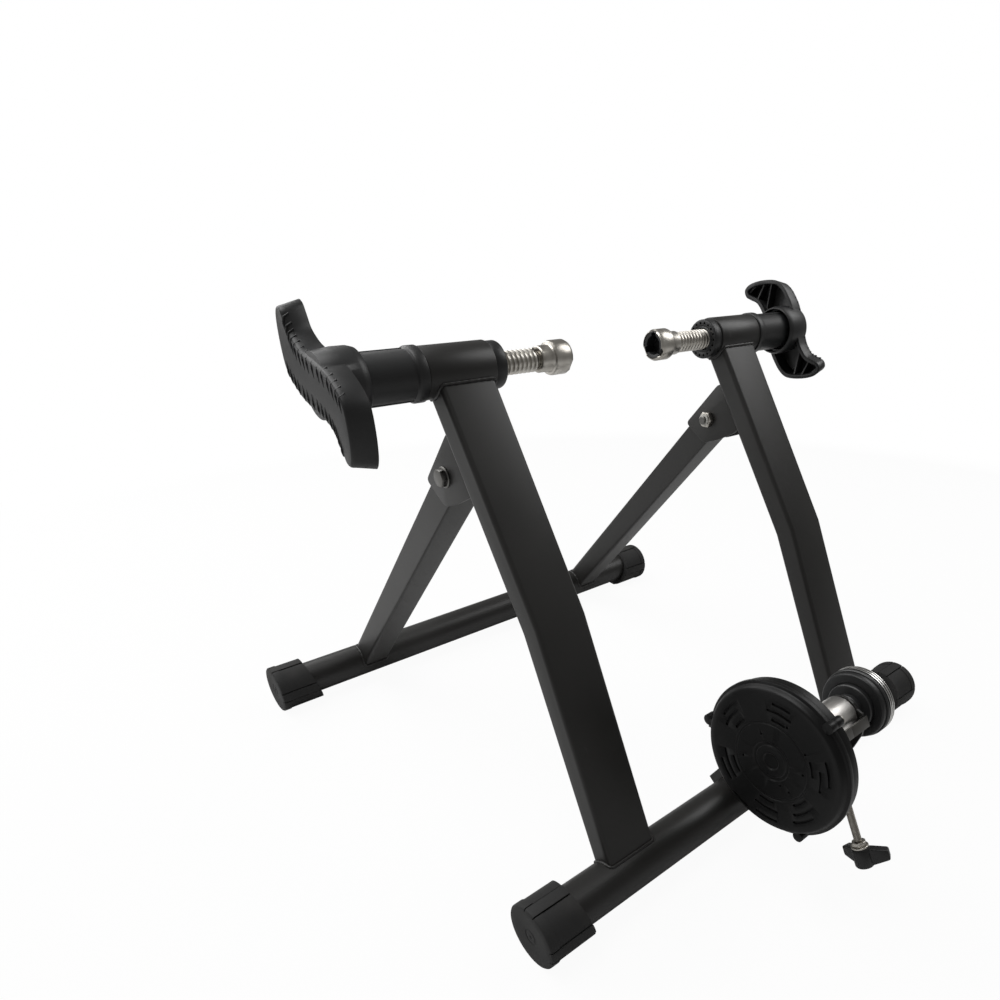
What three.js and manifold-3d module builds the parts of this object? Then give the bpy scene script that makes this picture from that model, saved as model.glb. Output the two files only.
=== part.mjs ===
// Wheel-on turbo trainer: a folding A-frame that holds a bicycle by its rear axle
// and carries a roller brake under the tyre. Lengths are in millimetres, +Z is up,
// +X points to the flywheel side and -Y to the roller end.
import * as THREE from 'three';
import { mergeVertices } from 'three/addons/utils/BufferGeometryUtils.js';
import Module from 'manifold-3d';

const wasm = await Module();
wasm.setup();

// Stance and base tubes
const wheelbase = 441;
const baseHeight = 24.7;
const baseRadius = 18;
const baseWall = 1.6;
const frontHalfSpan = 251.5;
const rearHalfSpan = 272.5;

// Fits shared by the whole part
const seatGap = 0.3;
const runGap = 0.15;
const overrun = 5;

// Uprights, bent once below the middle
const uprightWidth = 46;
const uprightDepth = 21;
const uprightWall = 1.8;
const uprightFootX = 154.5;
const uprightTopX = 150.8;
const bendY = 88.2;
const bendZ = 206.3;

// Axle clamps on top of the uprights
const clampY = 197.3;
const clampZ = 370.6;
const clampRadius = 18;
const clampWall = 2.2;
const clampInnerX = 126;
const clampOuterX = 181;
const cupTipX = 50;
const spindleRadius = 8.75;

// Folding rear legs
const hingeBehind = 0.2;
const hingeBelow = 75.4;
const hingeY = clampY + hingeBehind;
const hingeZ = clampZ - hingeBelow;
const hingeX = 151.7;
const legFootX = 161.8;
const legWidth = 27.5;
const legDepth = 26.7;
const legWall = 1.8;
const foldDegrees = 70;

// Resistance unit, turned about the roller axis so that its screw leans forwards
const rollerY = -61.7;
const rollerZ = 126.4;
const rollerRadius = 15.2;
const rollerLeftX = -50.5;
const rollerRightX = 14.5;
const screwLeanDegrees = 28.7;
const screwX = -20;
const screwAhead = 9.4;
const plateDrop = 31.1;
const pivotBehind = 84.6;

// Finishes
const finishes = {
  blackPowder: { color: 0x26272a, roughness: 0.48, metalness: 0.25 },
  blackPlastic: { color: 0x1b1c1e, roughness: 0.55, metalness: 0 },
  blackRubber: { color: 0x1a1a1a, roughness: 0.8, metalness: 0 },
  zinc: { color: 0xb9bab8, roughness: 0.35, metalness: 0.95 },
  steel: { color: 0xc6c7c8, roughness: 0.22, metalness: 1 },
  aluminium: { color: 0xb4b6b9, roughness: 0.4, metalness: 1 },
  magnet: { color: 0x4c4d50, roughness: 0.5, metalness: 0.8 },
};

const roundSteps = 28;
const smallSteps = 14;
const radians = (degrees) => degrees * Math.PI / 180;

// Solids: every piece is a closed body whose faces point outwards

function asSolid(geometry) {
  const bare = geometry.clone();
  bare.deleteAttribute('normal');
  bare.deleteAttribute('uv');
  const merged = mergeVertices(bare, 1e-4);
  const place = merged.attributes.position.array;
  const corners = merged.index.array;
  const point = (i) => new THREE.Vector3().fromArray(place, i * 3);
  const kept = [];
  let volume = 0;
  for (let i = 0; i < corners.length; i += 3) {
    const [a, b, c] = [corners[i], corners[i + 1], corners[i + 2]];
    if (a === b || b === c || c === a) continue;
    kept.push(a, b, c);
    volume += point(a).dot(point(b).cross(point(c)));
  }
  if (volume < 0) kept.reverse();
  const vertProperties = new Float32Array(place);
  return new wasm.Manifold(new wasm.Mesh({ numProp: 3, vertProperties, triVerts: new Uint32Array(kept) }));
}

function asGeometry(solid) {
  const mesh = solid.getMesh();
  const geometry = new THREE.BufferGeometry();
  geometry.setAttribute('position', new THREE.BufferAttribute(new Float32Array(mesh.vertProperties), 3));
  geometry.setIndex(new THREE.BufferAttribute(new Uint32Array(mesh.triVerts), 1));
  return geometry;
}

const joined = (...solids) => solids.reduce((whole, next) => whole.add(next));
const cut = (solid, ...tools) => tools.reduce((whole, tool) => whole.subtract(tool), solid);

// A side outline of (y, z) points swept along X
const sideways = new THREE.Matrix4().makeBasis(
  new THREE.Vector3(0, 1, 0), new THREE.Vector3(0, 0, 1), new THREE.Vector3(1, 0, 0));

function sideForm(outline, fromX, toX) {
  const shape = new THREE.Shape(outline.map(([y, z]) => new THREE.Vector2(y, z)));
  const geometry = new THREE.ExtrudeGeometry(shape, { depth: toX - fromX, bevelEnabled: false });
  geometry.translate(0, 0, fromX);
  geometry.applyMatrix4(sideways);
  return geometry;
}

function plate(outline, fromX, toX, lean = null) {
  const geometry = sideForm(outline, fromX, toX);
  if (lean) geometry.applyMatrix4(lean);
  return asSolid(geometry);
}

// The same, drawn in towards the point (y, z) at its far end
function drafted(outline, fromX, toX, endShare, y, z) {
  const geometry = sideForm(outline, fromX, toX);
  const place = geometry.attributes.position;
  for (let i = 0; i < place.count; i++) {
    if (place.getX(i) < (fromX + toX) / 2) continue;
    place.setY(i, y + (place.getY(i) - y) * endShare);
    place.setZ(i, z + (place.getZ(i) - z) * endShare);
  }
  return asSolid(geometry);
}

// A turned body about the X axis through (y, z), from a profile of [x, radius] points
function turned(profile, y = 0, z = 0, steps = roundSteps) {
  const points = profile.map(([x, r]) => new THREE.Vector2(r, x));
  const geometry = new THREE.LatheGeometry(points, steps);
  geometry.rotateZ(-Math.PI / 2);
  geometry.translate(0, y, z);
  return asSolid(geometry);
}

const rod = (radius, fromX, toX, y = 0, z = 0, steps = roundSteps) =>
  turned([[fromX, 0], [fromX, radius], [toX, radius], [toX, 0]], y, z, steps);

const pipe = (outer, inner, fromX, toX, y = 0, z = 0, steps = roundSteps) =>
  turned([[fromX, inner], [fromX, outer], [toX, outer], [toX, inner], [fromX, inner]], y, z, steps);

const hexBar = (acrossCorners, fromX, toX, y = 0, z = 0) => rod(acrossCorners / 2, fromX, toX, y, z, 6);

function block(fromX, toX, fromY, toY, fromZ, toZ) {
  const geometry = new THREE.BoxGeometry(toX - fromX, toY - fromY, toZ - fromZ);
  geometry.translate((fromX + toX) / 2, (fromY + toY) / 2, (fromZ + toZ) / 2);
  return asSolid(geometry);
}

// An upright pin along the local Z axis
function post(radius, fromZ, toZ, x, y, steps = smallSteps) {
  const geometry = new THREE.CylinderGeometry(radius, radius, toZ - fromZ, steps);
  geometry.rotateX(Math.PI / 2);
  geometry.translate(x, y, (fromZ + toZ) / 2);
  return asSolid(geometry);
}

// The same pin with two different end radii, as a dome or a taper
function dome(bottomRadius, topRadius, fromZ, toZ, x, y, steps = smallSteps) {
  const geometry = new THREE.CylinderGeometry(topRadius, bottomRadius, toZ - fromZ, steps);
  geometry.rotateX(Math.PI / 2);
  geometry.translate(x, y, (fromZ + toZ) / 2);
  return asSolid(geometry);
}

// Points of a round stretch from one angle to another
function arc(y, z, radius, fromDegrees, toDegrees, steps = 8) {
  return Array.from({ length: steps + 1 }, (_, i) => {
    const angle = radians(fromDegrees + (toDegrees - fromDegrees) * i / steps);
    return [y + radius * Math.cos(angle), z + radius * Math.sin(angle)];
  });
}

// The named meshes, all under one group

const trainer = new THREE.Group();
const unit = new THREE.Group();
unit.position.set(0, rollerY, rollerZ);
unit.rotation.x = -radians(screwLeanDegrees);
trainer.add(unit);

function add(name, finish, solid, parent = trainer) {
  const mesh = new THREE.Mesh(asGeometry(solid), new THREE.MeshStandardMaterial(finishes[finish]));
  mesh.name = name;
  parent.add(mesh);
}

function mirrored(solid) {
  const geometry = asGeometry(solid);
  geometry.scale(-1, 1, 1);
  return asSolid(geometry);
}

function addPair(name, finish, solid) {
  add(`${name}_right`, finish, solid);
  add(`${name}_left`, finish, mirrored(solid));
}

// Base tubes and their rubber caps

const capRadius = 25.2;
const capEndWall = 4;
const capFlangeLength = 8;
const capTopLength = 33;
const capBottomLength = 46;
const capSideRadius = 22.6;
const capLandHalfWidth = 15;

function baseTube(halfSpan, y) {
  const end = halfSpan - capEndWall - seatGap;
  return pipe(baseRadius, baseRadius - baseWall, -end, end, y, baseHeight);
}

function footCap(halfSpan, y) {
  const outer = halfSpan;
  const innermost = outer - capBottomLength;
  const low = baseHeight - capRadius - overrun;
  const high = baseHeight + capRadius + overrun;
  const lands = rod(capRadius, innermost, outer, y, baseHeight).intersect(
    block(innermost, outer, y - capLandHalfWidth, y + capLandHalfWidth, low, high));
  const body = joined(lands, rod(capSideRadius, innermost, outer, y, baseHeight),
    rod(capRadius, outer - capFlangeLength, outer, y, baseHeight));
  // The inner end slants: the cap grips further along underneath
  const slantRise = 2 * capRadius;
  const slantRun = capBottomLength - capTopLength;
  const slope = slantRun / slantRise;
  const cornerX = (z) => outer - capBottomLength + (z - (baseHeight - capRadius)) * slope;
  const wedge = new THREE.Shape([
    new THREE.Vector2(cornerX(low), low), new THREE.Vector2(cornerX(high), high),
    new THREE.Vector2(innermost - overrun, high), new THREE.Vector2(innermost - overrun, low)]);
  const wedgeForm = new THREE.ExtrudeGeometry(wedge, { depth: 2 * (capRadius + overrun), bevelEnabled: false });
  wedgeForm.rotateX(Math.PI / 2);
  wedgeForm.translate(0, y + capRadius + overrun, 0);
  const socket = rod(baseRadius + seatGap, innermost - overrun, outer - capEndWall, y, baseHeight);
  const ground = block(innermost - overrun, outer + overrun, y - capRadius, y + capRadius, low, 0);
  return cut(body, asSolid(wedgeForm), socket, ground);
}

add('front_base_tube', 'blackPowder', baseTube(frontHalfSpan, 0));
add('rear_base_tube', 'blackPowder', baseTube(rearHalfSpan, wheelbase));
addPair('front_foot_cap', 'blackRubber', footCap(frontHalfSpan, 0));
addPair('rear_foot_cap', 'blackRubber', footCap(rearHalfSpan, wheelbase));

// Uprights: one bent rectangular tube each, coped over the base tube and under the clamp tube

const lowerRun = Math.hypot(bendY, bendZ - baseHeight);
const upperRun = Math.hypot(clampY - bendY, clampZ - bendZ);
const lowerNormal = [(bendZ - baseHeight) / lowerRun, -bendY / lowerRun];
const upperNormal = [(clampZ - bendZ) / upperRun, -(clampY - bendY) / upperRun];
const mitre = [lowerNormal[0] + upperNormal[0], lowerNormal[1] + upperNormal[1]];
const mitreScale = 2 / (mitre[0] ** 2 + mitre[1] ** 2);

// Outline of the bent bar at a distance each side of its centre line
function bentBar(half) {
  const side = (sign) => [
    [sign * half * lowerNormal[0], baseHeight + sign * half * lowerNormal[1]],
    [bendY + sign * half * mitre[0] * mitreScale, bendZ + sign * half * mitre[1] * mitreScale],
    [clampY + sign * half * upperNormal[0], clampZ + sign * half * upperNormal[1]],
  ];
  return [...side(1), ...side(-1).reverse()];
}

// Both uprights lean in a little towards the top
const uprightSlope = (uprightTopX - uprightFootX) / (clampZ - baseHeight);
const uprightLean = new THREE.Matrix4().set(
  1, 0, uprightSlope, uprightFootX - uprightSlope * baseHeight,
  0, 1, 0, 0,
  0, 0, 1, 0,
  0, 0, 0, 1);

function uprightBar(halfDepth, halfWidth) {
  return plate(bentBar(halfDepth), -halfWidth, halfWidth, uprightLean);
}

const uprightOuter = uprightBar(uprightDepth / 2, uprightWidth / 2);
const uprightBore = uprightBar(uprightDepth / 2 - uprightWall, uprightWidth / 2 - uprightWall);
const baseKeepOut = rod(baseRadius + seatGap, 0, frontHalfSpan, 0, baseHeight);
const clampKeepOut = rod(clampRadius + seatGap, 0, frontHalfSpan, clampY, clampZ);
addPair('upright', 'blackPowder', cut(uprightOuter, uprightBore, baseKeepOut, clampKeepOut));

// Clamp tube, thread bush and guide sleeve

const bushFlangeLength = 10;
const bushFlangeRadius = 17;
const bushReach = 24;
const sleeveLipLength = 9;
const sleeveLipRadius = 19;
const sleeveLipBevel = 1.5;
const sleeveRadius = 17.1;
const sleeveBore = 12.6;
const sleeveEndX = 231;
const sleeveSpigot = 16;
const clampBore = clampRadius - clampWall;

addPair('clamp_tube', 'blackPowder', pipe(clampRadius, clampBore, clampInnerX, clampOuterX, clampY, clampZ));

const bushStartX = clampInnerX - bushFlangeLength;
const bushEndX = clampInnerX + bushReach;
const bushBore = spindleRadius + runGap;
addPair('thread_bush', 'blackPlastic', turned([
  [bushStartX, bushBore], [bushStartX, bushFlangeRadius], [clampInnerX - seatGap, bushFlangeRadius],
  [clampInnerX - seatGap, clampBore - seatGap], [bushEndX, clampBore - seatGap], [bushEndX, bushBore],
  [bushStartX, bushBore]], clampY, clampZ));

const lipStartX = clampOuterX + seatGap;
const lipEndX = clampOuterX + sleeveLipLength;
const spigotX = clampOuterX - sleeveSpigot;
addPair('guide_sleeve', 'blackPlastic', turned([
  [spigotX, sleeveBore], [spigotX, clampBore - seatGap], [lipStartX, clampBore - seatGap],
  [lipStartX, sleeveLipRadius], [lipEndX - sleeveLipBevel, sleeveLipRadius], [lipEndX, sleeveRadius],
  [sleeveEndX, sleeveRadius], [sleeveEndX, sleeveBore], [spigotX, sleeveBore]], clampY, clampZ));

// Axle cup: it swivels on the spindle's nose and takes the end of the bicycle's axle

const cupLength = 28;
const cupHeadLength = 17;
const cupRadius = 13;
const cupMouthRadius = 11.8;
const cupBevel = 3;
const cupCollarRadius = 9.9;
const cupRecessDepth = 11;
const cupRecessRadius = 8;
const cupNotchWidth = 5.5;
const cupNotchReach = 10.6;
const noseRadius = 6;
const noseLength = 11;
const cupHeadEndX = cupTipX + cupHeadLength;
const cupEndX = cupTipX + cupLength;

function axleCup() {
  const body = turned([
    [cupTipX, 0], [cupTipX, cupMouthRadius], [cupTipX + cupBevel, cupRadius],
    [cupHeadEndX - cupBevel / 2, cupRadius], [cupHeadEndX, cupRadius - cupBevel / 2], [cupHeadEndX, cupCollarRadius],
    [cupEndX, cupCollarRadius], [cupEndX, 0]], clampY, clampZ);
  const recess = rod(cupRecessRadius, cupTipX - overrun, cupTipX + cupRecessDepth, clampY, clampZ, 24);
  const notches = [90, 210, 330].map((degrees) => {
    const angle = radians(degrees);
    const across = [Math.cos(angle), Math.sin(angle)];
    const half = cupNotchWidth / 2;
    const corner = (reach, side) => [
      clampY + across[0] * reach - across[1] * side, clampZ + across[1] * reach + across[0] * side];
    const outline = [corner(0, -half), corner(cupNotchReach, -half), corner(cupNotchReach, half), corner(0, half)];
    return plate(outline, cupTipX - overrun, cupTipX + cupRecessDepth);
  });
  const noseHole = rod(noseRadius + runGap, cupEndX - noseLength - runGap, cupEndX + overrun, clampY, clampZ, 24);
  return cut(body, recess, ...notches, noseHole);
}

addPair('axle_cup', 'zinc', axleCup());

// Handle: a two-winged palm grip, hollow on the inner side, fixed on the spindle's end. One
// moulding serves both sides, so the left one is the right one turned round.

const handleCollarX = 225.5;
const handleRidgeX = 230;
const handleWingX = 239.6;
const handlePalmX = 257;
const handlePalmWall = 4;
const handleCollarRadius = 22.5;
const handleSocketRadius = 18.4;
const handleHubRadius = 11;
const handleHubX = 240;
const handleReach = 62;
const handleDraftShare = 0.942;
const handlePocketShare = 0.92;
const handleTurnDegrees = -3.2;
const handleOtherTurnDegrees = 86.5;
const handleOutlineSteps = 46;
const tangRadius = 6;
const rightHand = 1;

// One wing of the grip, as shares of its reach; the other is its half turn
const wingShares = [[0.306, 0.129], [0.411, 0.29], [0.532, 0.411], [0.661, 0.452], [0.79, 0.516],
  [0.815, 0.597], [0.677, 0.677], [0.468, 0.742], [0.194, 0.742], [0.048, 0.661], [-0.065, 0.516],
  [-0.161, 0.306]];

function gripOutline(hand, turnDegrees) {
  const half = wingShares.map(([u, v]) => [hand * u * handleReach, v * handleReach]);
  const all = [...half, ...half.map(([u, v]) => [-u, -v])];
  const curve = new THREE.CatmullRomCurve3(all.map(([u, v]) => new THREE.Vector3(u, v, 0)), true);
  const turn = radians(turnDegrees);
  return curve.getPoints(handleOutlineSteps).slice(0, -1).map((p) => [
    clampY + p.x * Math.cos(turn) - p.y * Math.sin(turn), clampZ + p.x * Math.sin(turn) + p.y * Math.cos(turn)]);
}

function handle(hand, turnDegrees) {
  const palmInnerX = handlePalmX - handlePalmWall;
  const outline = gripOutline(hand, turnDegrees);
  const pocket = outline.map(([y, z]) => [
    clampY + (y - clampY) * handlePocketShare, clampZ + (z - clampZ) * handlePocketShare]);
  const wings = cut(drafted(outline, handleWingX, handlePalmX, handleDraftShare, clampY, clampZ),
    drafted(pocket, handleWingX - overrun, palmInnerX, handleDraftShare, clampY, clampZ));
  const collar = turned([
    [handleCollarX, 0], [handleCollarX, sleeveLipRadius], [handleRidgeX, handleCollarRadius],
    [palmInnerX + handlePalmWall / 2, handleCollarRadius], [palmInnerX + handlePalmWall / 2, 0]], clampY, clampZ);
  const socket = pipe(handleSocketRadius, handleHubRadius, handleHubX, palmInnerX, clampY, clampZ);
  const mouth = rod(handleSocketRadius, handleCollarX - overrun, handleHubX, clampY, clampZ);
  const tangHole = rod(tangRadius + seatGap, handleHubX - overrun, palmInnerX, clampY, clampZ, 24);
  return cut(joined(wings, collar), socket, mouth, tangHole);
}

add('clamp_handle_right', 'blackPlastic', handle(rightHand, handleTurnDegrees));
add('clamp_handle_left', 'blackPlastic', mirrored(handle(-rightHand, handleOtherTurnDegrees)));

// Spindle: nose in the cup, thread through the bush, tang in the handle's hub
const tangEndX = handlePalmX - handlePalmWall - seatGap;
const threadStartX = cupEndX + seatGap;
const threadEndX = handleHubX - seatGap;
addPair('spindle', 'zinc', turned([
  [cupEndX - noseLength + runGap, 0], [cupEndX - noseLength + runGap, noseRadius], [threadStartX, noseRadius],
  [threadStartX, spindleRadius], [threadEndX, spindleRadius], [threadEndX, tangRadius], [tangEndX, tangRadius],
  [tangEndX, 0]], clampY, clampZ, 24));

// Rear legs and the hinge brackets behind the uprights

const legRun = Math.hypot(wheelbase - hingeY, hingeZ - baseHeight);
const legDown = [(wheelbase - hingeY) / legRun, -(hingeZ - baseHeight) / legRun];
const legUp = [-legDown[1], legDown[0]];
const legDegrees = THREE.MathUtils.radToDeg(Math.atan2(legDown[1], legDown[0]));

// A point given along the leg from the hinge and square to it
const byLeg = (along, out) => [
  hingeY + along * legDown[0] + out * legUp[0], hingeZ + along * legDown[1] + out * legUp[1]];

// Both legs spread a little towards the rear base tube
const legSlope = (hingeX - legFootX) / (hingeZ - baseHeight);
const legLean = new THREE.Matrix4().set(
  1, 0, legSlope, legFootX - legSlope * baseHeight,
  0, 1, 0, 0,
  0, 0, 1, 0,
  0, 0, 0, 1);

const hingeBoltRadius = 4;
const hingeBushRadius = 6;
const legNose = legDepth / 2;
const legBoreStart = hingeBushRadius + legWall;

function rearLeg() {
  const outline = [byLeg(0, -legNose), byLeg(legRun, -legNose), byLeg(legRun, legNose),
    ...arc(hingeY, hingeZ, legNose, legDegrees + 90, legDegrees + 270, 12).slice(0, -1)];
  const inside = legNose - legWall;
  const bore = [byLeg(legBoreStart, -inside), byLeg(legRun + overrun, -inside),
    byLeg(legRun + overrun, inside), byLeg(legBoreStart, inside)];
  return cut(
    plate(outline, -legWidth / 2, legWidth / 2, legLean),
    plate(bore, legWall - legWidth / 2, legWidth / 2 - legWall, legLean),
    rod(baseRadius + seatGap, 0, rearHalfSpan, wheelbase, baseHeight),
    rod(hingeBushRadius + seatGap, 0, rearHalfSpan, hingeY, hingeZ, 24));
}

addPair('rear_leg', 'blackPowder', rearLeg());

const bracketWidth = 36;
const bracketSheet = 2.5;
const bracketTop = 33;
const bracketBottom = 26;
const bracketBellyShares = [[0.82, -0.52], [0.1, -0.9], [-0.7, -1.21], [-1.5, -1], [-1.5, 0.17]];

function hingeBracket() {
  const inner = legNose + seatGap;
  const outer = inner + bracketSheet;
  const belly = bracketBellyShares.map(([along, out]) => byLeg(along * bracketBottom, out * bracketBottom));
  const cheek = [byLeg(-bracketTop, outer), byLeg(bracketBottom, outer), ...belly];
  const inside = [byLeg(-bracketTop - overrun, inner), byLeg(bracketBottom + overrun, inner),
    byLeg(bracketBottom + overrun, -2 * bracketTop), byLeg(-2 * bracketTop, -2 * bracketTop),
    byLeg(-2 * bracketTop, inner)];
  const innerX = hingeX - bracketWidth / 2;
  const outerX = hingeX + bracketWidth / 2;
  return cut(
    plate(cheek, innerX, outerX),
    plate(inside, innerX + bracketSheet, outerX - bracketSheet),
    uprightBar(uprightDepth / 2 + seatGap, uprightWidth / 2 + seatGap),
    rod(hingeBoltRadius + runGap, 0, rearHalfSpan, hingeY, hingeZ, smallSteps));
}

addPair('hinge_bracket', 'blackPowder', hingeBracket());

const hingeHexCorners = 14.4;
const hingeHeadHeight = 5.3;
const hingeNutHeight = 6.8;
const hingeBoltSpare = 1.6;
const bracketInnerX = hingeX - bracketWidth / 2;
const bracketOuterX = hingeX + bracketWidth / 2;

addPair('hinge_bolt', 'steel', joined(
  rod(hingeBoltRadius, bracketInnerX - hingeNutHeight - hingeBoltSpare, bracketOuterX + seatGap + hingeHeadHeight / 2,
    hingeY, hingeZ, smallSteps),
  hexBar(hingeHexCorners, bracketOuterX + seatGap, bracketOuterX + seatGap + hingeHeadHeight, hingeY, hingeZ)));
addPair('hinge_nut', 'steel', cut(
  hexBar(hingeHexCorners, bracketInnerX - seatGap - hingeNutHeight, bracketInnerX - seatGap, hingeY, hingeZ),
  rod(hingeBoltRadius + runGap, 0, rearHalfSpan, hingeY, hingeZ, smallSteps)));

// The bush that each leg turns on, clamped between the bracket's cheeks
const bushHalfLength = bracketWidth / 2 - bracketSheet - seatGap;
addPair('hinge_bush', 'zinc', pipe(hingeBushRadius, hingeBoltRadius + runGap,
  hingeX - bushHalfLength, hingeX + bushHalfLength, hingeY, hingeZ, 24));

// Unit mount: a narrow channel welded on the front base tube. From here all places are
// in the unit's own frame: its origin lies on the roller axis, +Z runs along the screw.

const lean = radians(screwLeanDegrees);
const tubeAwayY = -rollerY;
const tubeAwayZ = baseHeight - rollerZ;
const tubeLocalY = tubeAwayY * Math.cos(lean) - tubeAwayZ * Math.sin(lean);
const tubeLocalZ = tubeAwayY * Math.sin(lean) + tubeAwayZ * Math.cos(lean);
const pivotY = pivotBehind;
const pivotZ = -plateDrop;

const mountHalfWidth = 9.5;
const mountSheet = 2.5;
const mountEarRadius = 13;
const mountNutPlateDrop = 44;
const mountFrontReach = 6.2;
const mountArmDepth = 9;
const pivotBoltRadius = 4;
const screwRadius = 3;

function unitMount() {
  const plateTop = -mountNutPlateDrop;
  const plateUnder = plateTop - mountSheet;
  const front = -screwAhead - mountFrontReach;
  const cheek = [
    [front, plateUnder], [front + mountArmDepth, plateUnder - mountArmDepth / 2],
    [tubeLocalY - 2 * baseRadius, tubeLocalZ - mountArmDepth / 2],
    [tubeLocalY, tubeLocalZ], [tubeLocalY + baseRadius - mountSheet / 2, tubeLocalZ + mountArmDepth],
    [tubeLocalY + baseRadius + mountSheet, tubeLocalZ + baseRadius],
    ...arc(pivotY, pivotZ, mountEarRadius, 20, 160),
    [pivotY - 2 * mountEarRadius, plateTop + mountArmDepth / 2], [front, plateTop + mountSheet]];
  const inside = [[front - overrun, plateTop], [tubeLocalY + 2 * baseRadius, plateTop],
    [tubeLocalY + 2 * baseRadius, pivotZ + 2 * mountEarRadius], [front - overrun, pivotZ + 2 * mountEarRadius]];
  const below = [[front - overrun, plateUnder], [tubeLocalY + 2 * baseRadius, plateUnder],
    [tubeLocalY + 2 * baseRadius, tubeLocalZ - 2 * baseRadius], [front - overrun, tubeLocalZ - 2 * baseRadius]];
  const innerHalf = mountHalfWidth - mountSheet;
  return cut(
    plate(cheek, screwX - mountHalfWidth, screwX + mountHalfWidth),
    plate(inside, screwX - innerHalf, screwX + innerHalf),
    plate(below, screwX - innerHalf, screwX + innerHalf),
    rod(baseRadius + seatGap, -frontHalfSpan, frontHalfSpan, tubeLocalY, tubeLocalZ),
    rod(pivotBoltRadius + runGap, -frontHalfSpan, frontHalfSpan, pivotY, pivotZ, smallSteps),
    post(screwRadius + seatGap, plateUnder - overrun, plateTop + overrun, screwX, -screwAhead));
}

add('unit_mount_bracket', 'blackPowder', unitMount(), unit);

const mountPlateUnder = -mountNutPlateDrop - mountSheet;
const screwHexCorners = 11.5;
const screwNutHeight = 5;
add('adjuster_weld_nut', 'zinc', cut(
  post(screwHexCorners / 2, mountPlateUnder - seatGap - screwNutHeight, mountPlateUnder - seatGap, screwX, -screwAhead, 6),
  post(screwRadius + runGap, mountPlateUnder - 2 * overrun, mountPlateUnder + overrun, screwX, -screwAhead)), unit);

// Roller cradle: bearing cheeks at both ends of the roller, a base plate and two pivot arms

const cheekSheet = 2.5;
const cheekGap = 1.5;
const cheekLeftX = rollerLeftX - cheekGap;
const cheekRightX = rollerRightX + cheekGap;
const bearingRadius = 11;
const bearingWidth = 7;
const shaftRadius = 6;
const cheekCrown = 15;
const plateBack = 22;
const plateTongue = 17;
const tongueHalfWidth = 12;
const armSheet = 2.5;
const armGap = 0.5;
const armEarRadius = 12;
const armTop = 18.5;
const tieAhead = 20.7;
const tieHeight = 8.8;
const tieDrop = 12.3;
const tieSheet = 2;

// Front and bottom of the cheek, as shares of the plate's drop
const cheekFrontShares = [[-0.59, -0.04], [-0.59, -0.3], [-0.395, -0.624], [-0.013, -1]];

function rollerCradle() {
  const front = cheekFrontShares.map(([y, z]) => [y * plateDrop, z * plateDrop]);
  const outline = [...front, [plateBack, -plateDrop], ...arc(0, 0, cheekCrown, 0, 170)];
  const hole = rod(bearingRadius + seatGap, cheekLeftX - overrun, cheekRightX + overrun, 0, 0);
  const plateTop = -plateDrop + cheekSheet;
  const cheekFoot = front[front.length - 1][0];
  const armOffset = mountHalfWidth + armGap;
  const arms = [-1, 1].map((side) => {
    const near = screwX + side * armOffset;
    const far = screwX + side * (armOffset + armSheet);
    const shape = [[cheekFoot, -plateDrop], [pivotY - 2 * armEarRadius, -plateDrop],
      ...arc(pivotY, pivotZ, armEarRadius, -120, 120), [plateBack, -armTop], [cheekFoot, -armTop]];
    return plate(shape, Math.min(near, far), Math.max(near, far));
  });
  const whole = joined(
    plate(outline, cheekLeftX - cheekSheet, cheekLeftX), plate(outline, cheekRightX, cheekRightX + cheekSheet),
    block(cheekLeftX - cheekSheet, cheekRightX + cheekSheet, cheekFoot, plateBack, -plateDrop, plateTop),
    block(screwX - tongueHalfWidth, screwX + tongueHalfWidth, -plateTongue, 0, -plateDrop, plateTop), ...arms);
  return cut(whole, hole, rod(pivotBoltRadius + runGap, -frontHalfSpan, frontHalfSpan, pivotY, pivotZ, smallSteps));
}

add('roller_cradle', 'blackPowder', rollerCradle(), unit);
add('cradle_tie_bar', 'zinc', block(cheekLeftX - cheekSheet, cheekRightX + cheekSheet,
  -tieAhead, tieSheet - tieAhead, -tieDrop, tieHeight - tieDrop), unit);

// Pivot bolt and nut through the mount's ears and the cradle's arms
const pivotHexCorners = 14.4;
const pivotHeadHeight = 5.3;
const pivotNutHeight = 6.5;
const pivotSpare = 1.5;
const armsHalfWidth = mountHalfWidth + armGap + armSheet;
const pivotHeadX = screwX + armsHalfWidth + armGap;
const pivotNutX = screwX - armsHalfWidth - armGap;
add('cradle_pivot_bolt', 'steel', joined(
  rod(pivotBoltRadius, pivotNutX - pivotNutHeight - pivotSpare, pivotHeadX + pivotHeadHeight / 2, pivotY, pivotZ, smallSteps),
  hexBar(pivotHexCorners, pivotHeadX, pivotHeadX + pivotHeadHeight, pivotY, pivotZ)), unit);
add('cradle_pivot_nut', 'steel', cut(
  hexBar(pivotHexCorners, pivotNutX - pivotNutHeight, pivotNutX, pivotY, pivotZ),
  rod(pivotBoltRadius + runGap, pivotNutX - 2 * pivotNutHeight, pivotNutX + overrun, pivotY, pivotZ, smallSteps)), unit);
const spacerHalf = mountHalfWidth - mountSheet - seatGap;
add('cradle_pivot_sleeve', 'zinc', pipe(pivotBoltRadius + mountSheet, pivotBoltRadius + runGap,
  screwX - spacerHalf, screwX + spacerHalf, pivotY, pivotZ, smallSteps), unit);

// Adjusting screw: thrust pad, screw, jam nut and the winged knob below

const padThickness = 4;
const padRadius = 6;
const padCrownRadius = 2.5;
const padCrownHeight = 1.2;
const screwBelowMount = 53;
const jamNutHeight = 3.5;
const jamWasherRadius = 6.8;
const jamWasherHeight = 1.4;
const knobHubRadius = 7.5;
const knobHubHeight = 16;
const knobWingReach = 20;
const knobWingThickness = 7.5;
const knobWingDegrees = [-60, 70];
const knobTipShare = 0.4;
const screwGripDepth = 10;

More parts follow.
